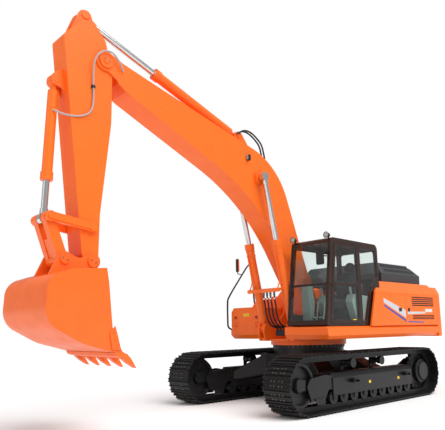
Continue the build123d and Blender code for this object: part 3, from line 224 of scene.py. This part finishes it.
cab_gloss = enamel("cab_gloss", (0.030, 0.014, 0.010), (0.042, 0.022, 0.016), 0.22, speck=2.0,
                   dirt=0.0, edge=0.5)
coat(cab_gloss, "cab_shell", "cab_door")
engine_grey = enamel("engine_grey", (0.14, 0.145, 0.15), (0.08, 0.08, 0.08), 0.6, speck=12.0,
                     dirt=0.0, bump=0.1)
coat(engine_grey, "engine", "radiator")
console_grey = enamel("console_grey", (0.25, 0.33, 0.31), (0.20, 0.27, 0.25), 0.5, speck=20.0,
                      dirt=0.0, edge=0.1, bump=0.1)
coat(console_grey, "cab_consoles")


# Polished rods of the cylinders: steel ground round and plated with hard chrome.
# They carry a thin film of oil, so the shine is broken by faint patches.
chrome = bpy.data.materials.new("hard_chrome")
chrome.use_nodes = True
chrome_tree = chrome.node_tree
chrome_face = chrome_tree.nodes["Principled BSDF"]
chrome_face.inputs["Metallic"].default_value = 1.0
chrome_place = chrome_tree.nodes.new("ShaderNodeTexCoord")
chrome_film = chrome_tree.nodes.new("ShaderNodeTexNoise")
chrome_film.inputs["Scale"].default_value = 16.0
chrome_tree.links.new(chrome_place.outputs["Object"], chrome_film.inputs["Vector"])
chrome_rough = chrome_tree.nodes.new("ShaderNodeMapRange")
chrome_rough.inputs["To Min"].default_value = 0.06
chrome_rough.inputs["To Max"].default_value = 0.24
chrome_tree.links.new(chrome_film.outputs["Fac"], chrome_rough.inputs["Value"])
chrome_tree.links.new(chrome_rough.outputs["Result"], chrome_face.inputs["Roughness"])
chrome_tint = chrome_tree.nodes.new("ShaderNodeMix")
chrome_tint.data_type = "RGBA"
chrome_tint.inputs["A"].default_value = (0.74, 0.74, 0.76, 1)
chrome_tint.inputs["B"].default_value = (0.60, 0.59, 0.58, 1)
chrome_tree.links.new(chrome_film.outputs["Fac"], chrome_tint.inputs["Factor"])
chrome_tree.links.new(chrome_tint.outputs["Result"], chrome_face.inputs["Base Color"])
coat(chrome, "boom_cylinder_rods", "arm_cylinder_rod", "bucket_cylinder_rod")


# Safety glass in the cab: clear and faintly green, with a trace of dust on it.
# It is thin, so light passes straight through and only the sheen shows.
glass = bpy.data.materials.new("safety_glass")
glass.use_nodes = True
glass_tree = glass.node_tree
glass_tree.nodes.remove(glass_tree.nodes["Principled BSDF"])
clear = glass_tree.nodes.new("ShaderNodeBsdfTransparent")
clear.inputs["Color"].default_value = (0.95, 0.98, 0.97, 1)
sheen = glass_tree.nodes.new("ShaderNodeBsdfGlossy")
sheen.inputs["Roughness"].default_value = 0.04
film = glass_tree.nodes.new("ShaderNodeTexNoise")
film.inputs["Scale"].default_value = 4.0
film_place = glass_tree.nodes.new("ShaderNodeTexCoord")
glass_tree.links.new(film_place.outputs["Object"], film.inputs["Vector"])
slant = glass_tree.nodes.new("ShaderNodeLayerWeight")
slant.inputs["Blend"].default_value = 0.35
steep = glass_tree.nodes.new("ShaderNodeMath")
steep.operation = "MULTIPLY"
steep.inputs[1].default_value = 0.16
glass_tree.links.new(slant.outputs["Facing"], steep.inputs[0])
share = glass_tree.nodes.new("ShaderNodeMath")
share.operation = "MULTIPLY_ADD"
share.inputs[1].default_value = 0.03
glass_tree.links.new(film.outputs["Fac"], share.inputs[0])
glass_tree.links.new(steep.outputs["Value"], share.inputs[2])
glass_mix = glass_tree.nodes.new("ShaderNodeMixShader")
glass_tree.links.new(share.outputs["Value"], glass_mix.inputs["Fac"])
glass_tree.links.new(clear.outputs["BSDF"], glass_mix.inputs[1])
glass_tree.links.new(sheen.outputs["BSDF"], glass_mix.inputs[2])
glass_out = glass_tree.nodes["Material Output"]
glass_tree.links.new(glass_mix.outputs["Shader"], glass_out.inputs["Surface"])
coat(glass, "cab_glass", "door_glass")


# Driver's seat: foam cushion, backrest and headrest in dark woven cloth with orange side bolsters.
# The pads are crowned between their edges and stand on the moulded base.
def piece(name, mesh_maker, mat, body, smooth=True):
    mesh = bpy.data.meshes.new(name)
    mesh_maker.normal_update()
    bmesh.ops.recalc_face_normals(mesh_maker, faces=mesh_maker.faces)
    mesh_maker.to_mesh(mesh)
    mesh_maker.free()
    mesh.materials.append(mat)
    if smooth:
        mesh.shade_smooth()
        mesh.set_sharp_from_angle(angle=radians(35))
    made = bpy.data.objects.new(name, mesh)
    bpy.context.scene.collection.objects.link(made)
    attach(made, body)
    return made


def add_box(bm, low, high, bevel=0.0):
    size = [b - a for a, b in zip(low, high)]
    middle = [(a + b) / 2 for a, b in zip(low, high)]
    place = Matrix.Translation(middle) @ Matrix.Diagonal((*size, 1))
    corners = bmesh.ops.create_cube(bm, size=1.0, matrix=place)["verts"]
    if bevel > 0:
        edges = {edge for corner in corners for edge in corner.link_edges}
        bmesh.ops.bevel(bm, geom=list(edges), offset=bevel, segments=2, affect="EDGES")


def add_rod(bm, start, end, radius, sides=20, end_radius=None):
    start, end = Vector(start), Vector(end)
    run = end - start
    place = Matrix.Translation((start + end) / 2) @ run.to_track_quat("Z", "Y").to_matrix().to_4x4()
    far_radius = radius if end_radius is None else end_radius
    bmesh.ops.create_cone(bm, cap_ends=True, segments=sides, radius1=radius, radius2=far_radius,
                          depth=run.length, matrix=place)


def add_plate(bm, points, y_near, y_far):
    near = [bm.verts.new((x, y_near, z)) for x, z in points]
    far = [bm.verts.new((x, y_far, z)) for x, z in points]
    bm.faces.new(near)
    bm.faces.new(list(reversed(far)))
    for i in range(len(points)):
        j = (i + 1) % len(points)
        bm.faces.new((near[i], far[i], far[j], near[j]))


seat_cloth = enamel("seat_cloth", (0.035, 0.036, 0.042), (0.07, 0.07, 0.078), 0.9, speck=260.0, dirt=0.0,
                    edge=0.0, bump=0.3)
seat_low, seat_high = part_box("driver_seat")
seat_y = (seat_low[1] + seat_high[1]) / 2
seat_floor = seat_low[2]
pads = bmesh.new()
for low, high in (
    ((-0.21, seat_y - 0.23, seat_floor + 0.265), (0.275, seat_y + 0.23, seat_floor + 0.375)),
    ((-0.29, seat_y - 0.215, seat_floor + 0.40), (-0.14, seat_y + 0.215, seat_floor + 0.98)),
    ((-0.325, seat_y - 0.12, seat_floor + 1.04), (-0.245, seat_y + 0.12, seat_floor + 1.21)),
):
    add_box(pads, low, high, 0.03)
bmesh.ops.subdivide_edges(pads, edges=pads.edges, cuts=2, use_grid_fill=True, smooth=0.5)
seat_pads = piece("seat_pads", pads, seat_cloth, "house")
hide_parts("driver_seat")
trim_orange = enamel("seat_trim", (0.75, 0.09, 0.02), (0.6, 0.07, 0.02), 0.7, speck=80.0, dirt=0.0,
                     bump=0.2)
bolster = bmesh.new()
for side in (-1, 1):
    add_rod(bolster, (-0.14, seat_y + side * 0.205, seat_floor + 0.45),
            (-0.19, seat_y + side * 0.205, seat_floor + 0.93), 0.022)
piece("seat_bolsters", bolster, trim_orange, "house")
seat_base = bmesh.new()
add_box(seat_base, (-0.17, seat_y - 0.16, seat_floor), (0.17, seat_y + 0.16, seat_floor + 0.27), 0.02)
piece("seat_base", seat_base, hood_black, "house")


# Bolt heads on shoes, swing bearing, pins and cab hinges: hexagon steel heads seated on the plate.
# They are one hexagon set out on points that face away from the plate.
def bolt_heads():
    tree = bpy.data.node_groups.new("bolt_heads", "GeometryNodeTree")
    face = tree.interface
    face.new_socket("Geometry", in_out="INPUT", socket_type="NodeSocketGeometry")
    for socket, kind, value in (("Radius", "Float", 0.012), ("Height", "Float", 0.02), ("Sides", "Int", 6)):
        face.new_socket(socket, in_out="INPUT", socket_type="NodeSocket" + kind).default_value = value
    face.new_socket("Material", in_out="INPUT", socket_type="NodeSocketMaterial")
    face.new_socket("Geometry", in_out="OUTPUT", socket_type="NodeSocketGeometry")
    given = tree.nodes.new("NodeGroupInput")
    made = tree.nodes.new("NodeGroupOutput")
    head = tree.nodes.new("GeometryNodeMeshCylinder")
    facing = tree.nodes.new("GeometryNodeInputNamedAttribute")
    facing.data_type = "FLOAT_VECTOR"
    facing.inputs["Name"].default_value = "facing"
    aim = tree.nodes.new("FunctionNodeAlignRotationToVector")
    aim.axis = "Z"
    place = tree.nodes.new("GeometryNodeInstanceOnPoints")
    real = tree.nodes.new("GeometryNodeRealizeInstances")
    paint = tree.nodes.new("GeometryNodeSetMaterial")
    tree.links.new(given.outputs["Sides"], head.inputs["Vertices"])
    tree.links.new(given.outputs["Radius"], head.inputs["Radius"])
    tree.links.new(given.outputs["Height"], head.inputs["Depth"])
    tree.links.new(facing.outputs["Attribute"], aim.inputs["Vector"])
    tree.links.new(given.outputs["Geometry"], place.inputs["Points"])
    tree.links.new(head.outputs["Mesh"], place.inputs["Instance"])
    tree.links.new(aim.outputs["Rotation"], place.inputs["Rotation"])
    tree.links.new(place.outputs["Instances"], real.inputs["Geometry"])
    tree.links.new(real.outputs["Geometry"], paint.inputs["Geometry"])
    tree.links.new(given.outputs["Material"], paint.inputs["Material"])
    tree.links.new(paint.outputs["Geometry"], made.inputs["Geometry"])
    return tree


bolt_tree = bolt_heads()
bolt_steel = enamel("bolt_steel", (0.20, 0.19, 0.18), (0.10, 0.095, 0.09), 0.42, speck=30.0, dirt=0.1,
                    metal=0.7)


def bolts(name, places, body, radius, height, mat):
    mesh = bpy.data.meshes.new(name)
    mesh.from_pydata([p for p, n in places], [], [])
    facing = mesh.attributes.new("facing", "FLOAT_VECTOR", "POINT")
    for i, (p, n) in enumerate(places):
        facing.data[i].vector = n
    made = bpy.data.objects.new(name, mesh)
    bpy.context.scene.collection.objects.link(made)
    step = made.modifiers.new("bolt_heads", "NODES")
    step.node_group = bolt_tree
    values = {"Radius": radius, "Height": height, "Material": mat}
    for item in bolt_tree.interface.items_tree:
        if item.item_type == "SOCKET" and item.in_out == "INPUT" and item.name in values:
            step[item.identifier] = values[item.name]
    bpy.context.view_layer.update()
    shown = made.evaluated_get(bpy.context.evaluated_depsgraph_get())
    baked = bpy.data.meshes.new_from_object(shown)
    made.modifiers.clear()
    made.data = baked
    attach(made, body)


shoe_loop = 0.458
shoe_span = 4.04
shoe_count = 51
axle_height = 0.5
track_offset = 1.295
shoe_run = 2 * shoe_span + 2 * pi * shoe_loop
shoe_pitch = shoe_run / shoe_count


def loop_place(distance):
    half, bend = shoe_span / 2, pi * shoe_loop
    along = distance % shoe_run
    if along < shoe_span:
        return (along - half, axle_height - shoe_loop)
    along -= shoe_span
    if along < bend:
        angle = along / shoe_loop - pi / 2
        return (half + shoe_loop * cos(angle), axle_height + shoe_loop * sin(angle))
    along -= bend
    if along < shoe_span:
        return (half - along, axle_height + shoe_loop)
    angle = (along - shoe_span) / shoe_loop + pi / 2
    return (-half + shoe_loop * cos(angle), axle_height + shoe_loop * sin(angle))


shoe_bolts = []
ground_run_top = 0.1
bolt_seat = 0.016
for side in (-1, 1):
    for i in range(shoe_count):
        x0, z0 = loop_place(i * shoe_pitch)
        x1, z1 = loop_place((i + 1) * shoe_pitch)
        chord = hypot(x1 - x0, z1 - z0)
        ux, uz = (x1 - x0) / chord, (z1 - z0) / chord
        if max(z0, z1) < ground_run_top:
            continue
        for along in (0.052, 0.132):
            x = x0 + ux * along + uz * bolt_seat
            z = z0 + uz * along - ux * bolt_seat
            for across in (-0.12, -0.05, 0.05, 0.12):
                shoe_bolts.append(((x, side * track_offset + across, z), (uz, 0, -ux)))
bolts("shoe_bolts", shoe_bolts, "undercarriage", 0.013, 0.018, bolt_steel)
ring_bolts = []
ring_bolt_count = 48
ring_radius = 0.742
for i in range(ring_bolt_count):
    angle = 2 * pi * i / ring_bolt_count
    out = (cos(angle), sin(angle), 0)
    for z in (1.072, 1.098):
        ring_bolts.append(((out[0] * ring_radius, out[1] * ring_radius, z), out))
bolts("ring_bolts", ring_bolts, "undercarriage", 0.010, 0.022, bolt_steel)


# Steps on the track frames: a tread of steel plate on two side brackets, two on each outer wall.
# They are welded to the frame and painted black with it.
frame_steps = bmesh.new()
step_half, step_reach = 0.09, 0.098
for side in (-1, 1):
    near, far = sorted((side * 1.452, side * 1.550))
    for x in (0.57, -1.28):
        add_box(frame_steps, (x - step_half, near, 0.505), (x + step_half, far, 0.525), 0.004)
        add_box(frame_steps, (x - step_half, near, 0.46), (x - 0.075, near + step_reach, 0.51), 0.002)
        add_box(frame_steps, (x + 0.075, near, 0.46), (x + step_half, near + step_reach, 0.51), 0.002)
piece("frame_steps", frame_steps, casting, "undercarriage")


# Side artwork on the left doors: cut film, two tapering slanted bands that run on as two thin bars.
# It lies on the door skins, silver above and blue below, in a layout of its own.
def film_paint(name, colour, rough=0.3):
    return enamel(name, colour, tuple(channel * 0.85 for channel in colour), rough, speck=7.0, dirt=0.0,
                  edge=0.0, bump=0.01)


silver_film = film_paint("silver_film", (0.60, 0.61, 0.64))
blue_film = film_paint("blue_film", (0.05, 0.09, 0.34))
skin = 1.495
for door, tone, paint, points in (
    ("front", "silver", silver_film, [(-0.60, 2.02), (-0.60, 1.93), (-1.45, 1.62), (-1.45, 1.78)]),
    ("front", "blue", blue_film, [(-0.60, 1.90), (-0.60, 1.86), (-1.45, 1.53), (-1.45, 1.59)]),
    ("rear", "silver", silver_film,
     [(-1.53, 1.755), (-1.53, 1.70), (-1.70, 1.70), (-2.30, 1.72), (-2.30, 1.76)]),
    ("rear", "blue", blue_film, [(-1.53, 1.56), (-1.53, 1.53), (-2.20, 1.515), (-2.20, 1.54)]),
):
    band = bmesh.new()
    add_plate(band, points, skin - 0.0005, skin + 0.0012)
    piece(f"{door}_door_{tone}_band", band, paint, f"left_{door}_door", False)


# Blank yellow notices and a blank plate: cut film stuck on the track frames, the tool box, the house
# and the rear door. They are plain, with no words on them.
yellow_film = film_paint("yellow_film", (0.85, 0.55, 0.03), 0.4)
frame_notices = bmesh.new()
for side in (-1, 1):
    near, far = sorted((side * 1.4595, side * 1.4615))
    for x in (0.02, -1.02):
        add_box(frame_notices, (x - 0.035, near, 0.40), (x + 0.035, far, 0.45))
piece("frame_notices", frame_notices, yellow_film, "undercarriage", False)
notices = bmesh.new()
add_box(notices, (0.8295, -1.10, 1.71), (0.8315, -0.92, 1.78))
add_box(notices, (0.28, 1.4195, 1.55), (0.40, 1.4212, 1.60))
piece("house_notices", notices, yellow_film, "house", False)
rear_notice = bmesh.new()
add_box(rear_notice, (-2.62, skin - 0.0005, 1.75), (-2.30, skin + 0.0015, 1.82))
plate_film = film_paint("plate_film", (0.72, 0.72, 0.70))
piece("rear_door_plate", rear_notice, plate_film, "left_rear_door", False)


# Door latches: pressed black cups let into the left doors, the front one with a turning key disc.
# Two round ones sit on the lid of the tool box. Black sheet behind the grilles of the rear door is painted
# shade, standing in for the dark engine bay seen through them.
plain_black = enamel("plain_black", (0.018, 0.018, 0.02), (0.03, 0.03, 0.032), 0.45, speck=20.0,
                     dirt=0.1, bump=0.06)
latch = bmesh.new()
add_box(latch, (-1.29, skin - 0.004, 1.755), (-1.17, skin + 0.010, 1.835), 0.008)
add_rod(latch, (-1.255, skin, 1.795), (-1.255, skin + 0.016, 1.795), 0.018)
piece("front_door_latch", latch, plain_black, "left_front_door")
rear_latch = bmesh.new()
add_box(rear_latch, (-1.63, skin - 0.004, 1.755), (-1.55, skin + 0.010, 1.835), 0.008)
piece("rear_door_latch", rear_latch, plain_black, "left_rear_door")
# Painted shade: flat black sheets just behind the rear door's grille openings stand in for the shadow
# inside the engine bay.
grille_shade_sheet = bmesh.new()
for low_z, high_z in ((1.855, 2.100), (1.570, 1.705)):
    add_box(grille_shade_sheet, (-2.735, 1.4690, low_z), (-1.715, 1.4748, high_z))
piece("rear_door_grille_shade", grille_shade_sheet, plain_black, "left_rear_door", False)
box_latches = bmesh.new()
for y in (-1.33, -0.70):
    add_rod(box_latches, (0.842, y, 1.692), (0.850, y, 1.692), 0.026)
piece("tool_box_latches", box_latches, plain_black, "tool_box_lid")


# Work lamps: black shells with pale moulded lenses. Two round ones stand on short brackets on the
# cab roof, and a square one is fixed to the left cheek of the boom.
lens = enamel("lamp_lens", (0.42, 0.42, 0.40), (0.22, 0.22, 0.21), 0.12, speck=90.0, dirt=0.0, edge=0.1,
              bump=0.1)
cab_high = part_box("cab_shell")[1]
lamp_shells, lamp_lenses = bmesh.new(), bmesh.new()
lamp_z = cab_high[2] + 0.045
for y in (0.53, 1.34):
    add_rod(lamp_shells, (0.93, y, lamp_z), (1.02, y, lamp_z), 0.036, 28, 0.062)
    add_rod(lamp_lenses, (1.018, y, lamp_z), (1.030, y, lamp_z), 0.052, 28, 0.040)
    add_rod(lamp_shells, (0.92, y, cab_high[2] - 0.03), (0.96, y, lamp_z), 0.014)
piece("cab_lamp_shells", lamp_shells, plain_black, "house")
piece("cab_lamp_lenses", lamp_lenses, lens, "house")
boom_lamp, boom_lens = bmesh.new(), bmesh.new()
add_box(boom_lamp, (1.90, 0.231, 4.70), (1.97, 0.300, 4.82), 0.012)
add_box(boom_lens, (1.968, 0.245, 4.712), (1.980, 0.290, 4.808), 0.004)
piece("boom_lamp_shell", boom_lamp, plain_black, "boom")
piece("boom_lamp_lens", boom_lens, lens, "boom")


# Mirror of the cab: a moulded black shell on a bent tube arm by the front post, with silvered glass.
# Dust on the glass blurs the reflection a little.
mirror_glass = bpy.data.materials.new("mirror_glass")
mirror_glass.use_nodes = True
mirror_tree = mirror_glass.node_tree
mirror_face = mirror_tree.nodes["Principled BSDF"]
mirror_face.inputs["Metallic"].default_value = 1.0
mirror_dust = mirror_tree.nodes.new("ShaderNodeTexNoise")
mirror_dust.inputs["Scale"].default_value = 25.0
mirror_tone = mirror_tree.nodes.new("ShaderNodeMapRange")
mirror_tone.inputs["To Min"].default_value = 0.03
mirror_tone.inputs["To Max"].default_value = 0.16
mirror_place = mirror_tree.nodes.new("ShaderNodeTexCoord")
mirror_tree.links.new(mirror_place.outputs["Object"], mirror_dust.inputs["Vector"])
mirror_tree.links.new(mirror_dust.outputs["Fac"], mirror_tone.inputs["Value"])
mirror_tree.links.new(mirror_tone.outputs["Result"], mirror_face.inputs["Roughness"])
cab_mirror = bmesh.new()
add_box(cab_mirror, (1.13, 1.19, 2.60), (1.17, 1.37, 2.91), 0.016)
add_rod(cab_mirror, (1.02, 1.372, 2.76), (1.15, 1.372, 2.76), 0.011)
add_rod(cab_mirror, (1.15, 1.372, 2.76), (1.15, 1.30, 2.76), 0.011)
piece("cab_mirror_shell", cab_mirror, plain_black, "house")
cab_mirror_face = bmesh.new()
add_box(cab_mirror_face, (1.127, 1.205, 2.615), (1.131, 1.355, 2.895))
piece("cab_mirror_glass", cab_mirror_face, mirror_glass, "house", False)


# Pipes and hoses: rubber hose, crimped in steel ends at the cross beam, and painted steel pipe.
# Hoses leave a port block on the deck and loop up to the cross beam on the boom cylinders.
# Others bridge the knee of the boom and hang from the boom tip down to the bucket cylinder.
rubber = enamel("hose_rubber", (0.016, 0.016, 0.017), (0.03, 0.03, 0.03), 0.5, speck=60.0, dirt=0.0,
                edge=0.0, bump=0.15)
hose_grey = enamel("hose_grey", (0.42, 0.42, 0.43), (0.30, 0.30, 0.30), 0.4, speck=60.0, dirt=0.0,
                   edge=0.0, bump=0.1)


def hose(name, points, radius, mat, body=None, between=None):
    line = bpy.data.curves.new(name, "CURVE")
    line.dimensions = "3D"
    line.bevel_depth = radius
    line.bevel_resolution = 4
    line.resolution_u = 8
    line.use_fill_caps = True
    run = line.splines.new("NURBS")
    run.points.add(len(points) - 1)
    for knot, point in zip(run.points, points):
        knot.co = (*point, 1)
    run.order_u = 3
    run.use_endpoint_u = True
    shape = bpy.data.objects.new(name + "_line", line)
    bpy.context.scene.collection.objects.link(shape)
    bpy.context.view_layer.update()
    shown = shape.evaluated_get(bpy.context.evaluated_depsgraph_get())
    mesh = bpy.data.meshes.new_from_object(shown)
    bpy.data.objects.remove(shape)
    mesh.materials.clear()
    mesh.materials.append(mat)
    mesh.shade_smooth()
    made = bpy.data.objects.new(name, mesh)
    bpy.context.scene.collection.objects.link(made)
    if between:
        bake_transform(made)
    else:
        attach(made, body)


tube_foot_x, tube_foot_z = 0.93, 1.45
tube_lean, tube_rise = 0.23087, 0.97298
tube_offset = 0.375


def on_tube(along, out):
    return (tube_foot_x + tube_lean * along + tube_rise * out,
            tube_foot_z + tube_rise * along - tube_lean * out)


beam = bmesh.new()
beam_points = [on_tube(0.78, 0.20), on_tube(0.85, 0.20), on_tube(0.85, 0.26), on_tube(0.78, 0.26)]
add_plate(beam, beam_points, -0.42, 0.42)
for side in (-1, 1):
    (ax, az), (bx, bz) = on_tube(0.815, 0.07), on_tube(0.815, 0.215)
    add_rod(beam, (ax, side * tube_offset, az), (bx, side * tube_offset, bz), 0.026)
for side in (-1, 1):
    for low, high in ((1.50, 1.53), (1.60, 1.63)):
        (ax, az), (bx, bz) = on_tube(low, 0.0), on_tube(high, 0.0)
        add_rod(beam, (ax, side * tube_offset, az), (bx, side * tube_offset, bz), 0.094, 32)
piece("hose_beam", beam, orange, "boom_tubes")
pipe_route = ((0.84, 0.23), (0.92, 0.15), (1.00, 0.11), (1.45, 0.11), (1.56, 0.10))
pipe_points = [on_tube(along, out) for along, out in pipe_route]
for i, y in enumerate((-tube_offset, tube_offset)):
    hose(f"tube_pipe_{i}", [(x, y, z) for x, z in pipe_points], 0.012, orange, "boom_tubes")
ports = bmesh.new()
add_box(ports, (0.86, -0.06, 1.30), (0.96, 0.34, 1.42), 0.01)
piece("port_block", ports, casting, "house")
hose_ends, hose_marks = bmesh.new(), bmesh.new()
hose_radius, pipe_radius = 0.017, 0.014
top_x, top_z = on_tube(0.80, 0.23)
for i, y in enumerate((0.0, 0.09, 0.18, 0.28)):
    hose(f"foot_hose_{i}",
         [(0.93, y, 1.40), (0.96, y, 1.46), (1.17, y, 1.50), (1.29, y, 1.70), (1.30, y, 1.90),
          (top_x, y, top_z - 0.14), (top_x, y, top_z)],
         hose_radius, rubber, between=("house", "boom_tubes", (0.93, y, 1.41), (1.04, y, 1.52)))
    add_rod(hose_ends, (top_x, y, top_z + 0.05), (top_x, y, top_z - 0.09), 0.023, 16)
    mark_x = top_x - 0.003
    add_rod(hose_marks, (mark_x, y, top_z - 0.135), (mark_x, y, top_z - 0.165), 0.019, 16)
piece("beam_hose_ends", hose_ends, bolt_steel, "boom_tubes")
white_mark = film_paint("white_mark", (0.80, 0.80, 0.78))
piece("hose_marks", hose_marks, white_mark, "boom_tubes")
for i, y in enumerate((0.105, 0.175)):
    hose(f"knee_hose_{i}",
         [(1.38, y, 4.86), (1.42, y, 5.06), (1.50, y, 5.20), (1.78, y, 5.36), (2.02, y, 5.33),
          (2.10, y, 5.24)],
         hose_radius, rubber, "boom")
for i, y in enumerate((-0.18, -0.13)):
    hose(f"boom_pipe_{i}",
         [(2.35, y, 5.25), (3.0, y, 5.46), (4.0, y, 5.63), (4.40, y, 5.72), (4.62, y, 5.86)],
         pipe_radius, orange, "boom")
hose("upper_hose",
     [(4.80, 0.262, 5.62), (4.95, 0.300, 5.84), (5.162, 0.300, 5.869), (5.336, 0.300, 5.702),
      (5.345, 0.250, 5.45), (5.32, 0.225, 5.20)],
     pipe_radius, hose_grey, between=("boom", "arm", (4.95, 0.3, 5.84), (5.30, 0.25, 5.60)))
hose("lower_hose",
     [(5.32, 0.225, 5.22), (5.30, 0.225, 4.98), (5.36, 0.225, 4.75), (5.58, 0.225, 4.65),
      (5.80, 0.16, 4.66), (5.90, 0.09, 4.72)],
     pipe_radius, hose_grey,
     between=("arm", "bucket_tube", (5.36, 0.225, 4.75), (5.80, 0.16, 4.68)))
clamp = bmesh.new()
add_box(clamp, (5.29, 0.200, 5.19), (5.35, 0.242, 5.24), 0.004)
piece("arm_hose_clamp", clamp, plain_black, "arm")


# Handrail on the right front of the house: one bent steel tube painted black, fixed at both ends.
# It carries the right mirror, a black shell with an orange rim on a short bent arm.
rail_y = -1.522
hose("right_handrail",
     [(0.80, -1.490, 1.44), (0.90, -1.520, 1.46), (0.905, rail_y, 1.62), (0.905, rail_y, 2.04),
      (0.88, rail_y, 2.14), (0.43, rail_y, 2.68), (0.22, rail_y, 2.93), (0.10, rail_y, 2.97),
      (0.06, rail_y, 2.80), (0.06, rail_y, 2.10), (0.06, -1.480, 1.98)],
     0.019, plain_black, "house")
right_mirror, right_rim = bmesh.new(), bmesh.new()
add_box(right_mirror, (0.53, -1.590, 2.74), (0.57, -1.496, 3.05), 0.015)
add_rod(right_mirror, (0.43, rail_y, 2.69), (0.545, -1.535, 2.70), 0.010)
add_rod(right_mirror, (0.545, -1.535, 2.69), (0.55, -1.540, 2.78), 0.010)
add_box(right_rim, (0.534, -1.500, 2.76), (0.566, -1.490, 3.03), 0.003)
piece("right_mirror_shell", right_mirror, plain_black, "house")
piece("right_mirror_rim", right_rim, orange, "house")


# Cab fittings: rubber window seals, a wiper on the front screen and the bolts of the door hinges.
# Seals are black extrusions round each pane. The wiper is a pressed steel arm and a blade.
def glass_edges(name, node, body):
    bm = bmesh.new()
    bm.from_mesh(nodes[node].data)
    bmesh.ops.remove_doubles(bm, verts=bm.verts, dist=0.0001)
    rims = bmesh.new()
    for edge in bm.edges:
        if len(edge.link_faces) != 2 or edge.calc_face_angle(0) < radians(60):
            continue
        a, b = edge.verts[0].co, edge.verts[1].co
        if (a - b).length > 0.004:
            add_rod(rims, a, b, 0.009, 6)
    bm.free()
    piece(name, rims, rubber, body)


glass_edges("cab_window_seals", "cab_glass", "house")
glass_edges("door_window_seals", "door_glass", "cab_door")
wiper = bmesh.new()
add_rod(wiper, (1.150, 0.505, 2.06), (1.098, 0.515, 2.50), 0.008)
add_box(wiper, (1.118, 0.500, 2.03), (1.160, 0.545, 2.10), 0.006)
add_rod(wiper, (1.128, 0.520, 2.14), (1.078, 0.520, 2.62), 0.011)
piece("screen_wiper", wiper, plain_black, "house")
door_face = 1.425
hinges = []
for z in (1.62, 2.25, 2.90):
    for x in (0.02, 0.07):
        hinges.append(((x, door_face, z), (0, 1, 0)))
bolts("cab_hinge_bolts", hinges, "cab_door", 0.012, 0.008, bolt_steel)


# Side cutters on the bucket: thick cut steel plates bolted outside each side plate at the lip.
# Three bolts hold each one, and the enamel is rubbed paler along the edges.
side_cutters, cutter_bolts = bmesh.new(), []
cutter_points = [(5.245, 1.425), (5.160, 1.520), (5.105, 1.350), (5.060, 1.190), (5.200, 1.200)]
for side in (-1, 1):
    near, far = sorted((side * 0.7195, side * 0.737))
    add_plate(side_cutters, cutter_points, near, far)
    for x, z in ((5.180, 1.440), (5.155, 1.340), (5.130, 1.245)):
        cutter_bolts.append(((x, side * 0.738, z), (0, side, 0)))
piece("side_cutters", side_cutters, dug_orange, "bucket", False)
bolts("side_cutter_bolts", cutter_bolts, "bucket", 0.016, 0.018, dug_orange)


# Keeper bolts of the pins: two hexagon heads on each end of the boom tip pin and of the bucket's
# two pins. They keep each pin from turning in its bore.
keeper_radius = 0.04
keepers = {"boom": [], "bucket": []}
for body, x, z, y in (
    ("boom", 5.110, 5.720, 0.272), ("bucket", 5.265, 2.470, 0.281), ("bucket", 5.712, 2.478, 0.281),
):
    for side in (-1, 1):
        for angle in (0.4, 0.4 + pi):
            head = (x + keeper_radius * cos(angle), side * y, z + keeper_radius * sin(angle))
            keepers[body].append((head, (0, side, 0)))
for body, places in keepers.items():
    bolts(f"{body}_keeper_bolts", places, body, 0.012, 0.016, bolt_steel)
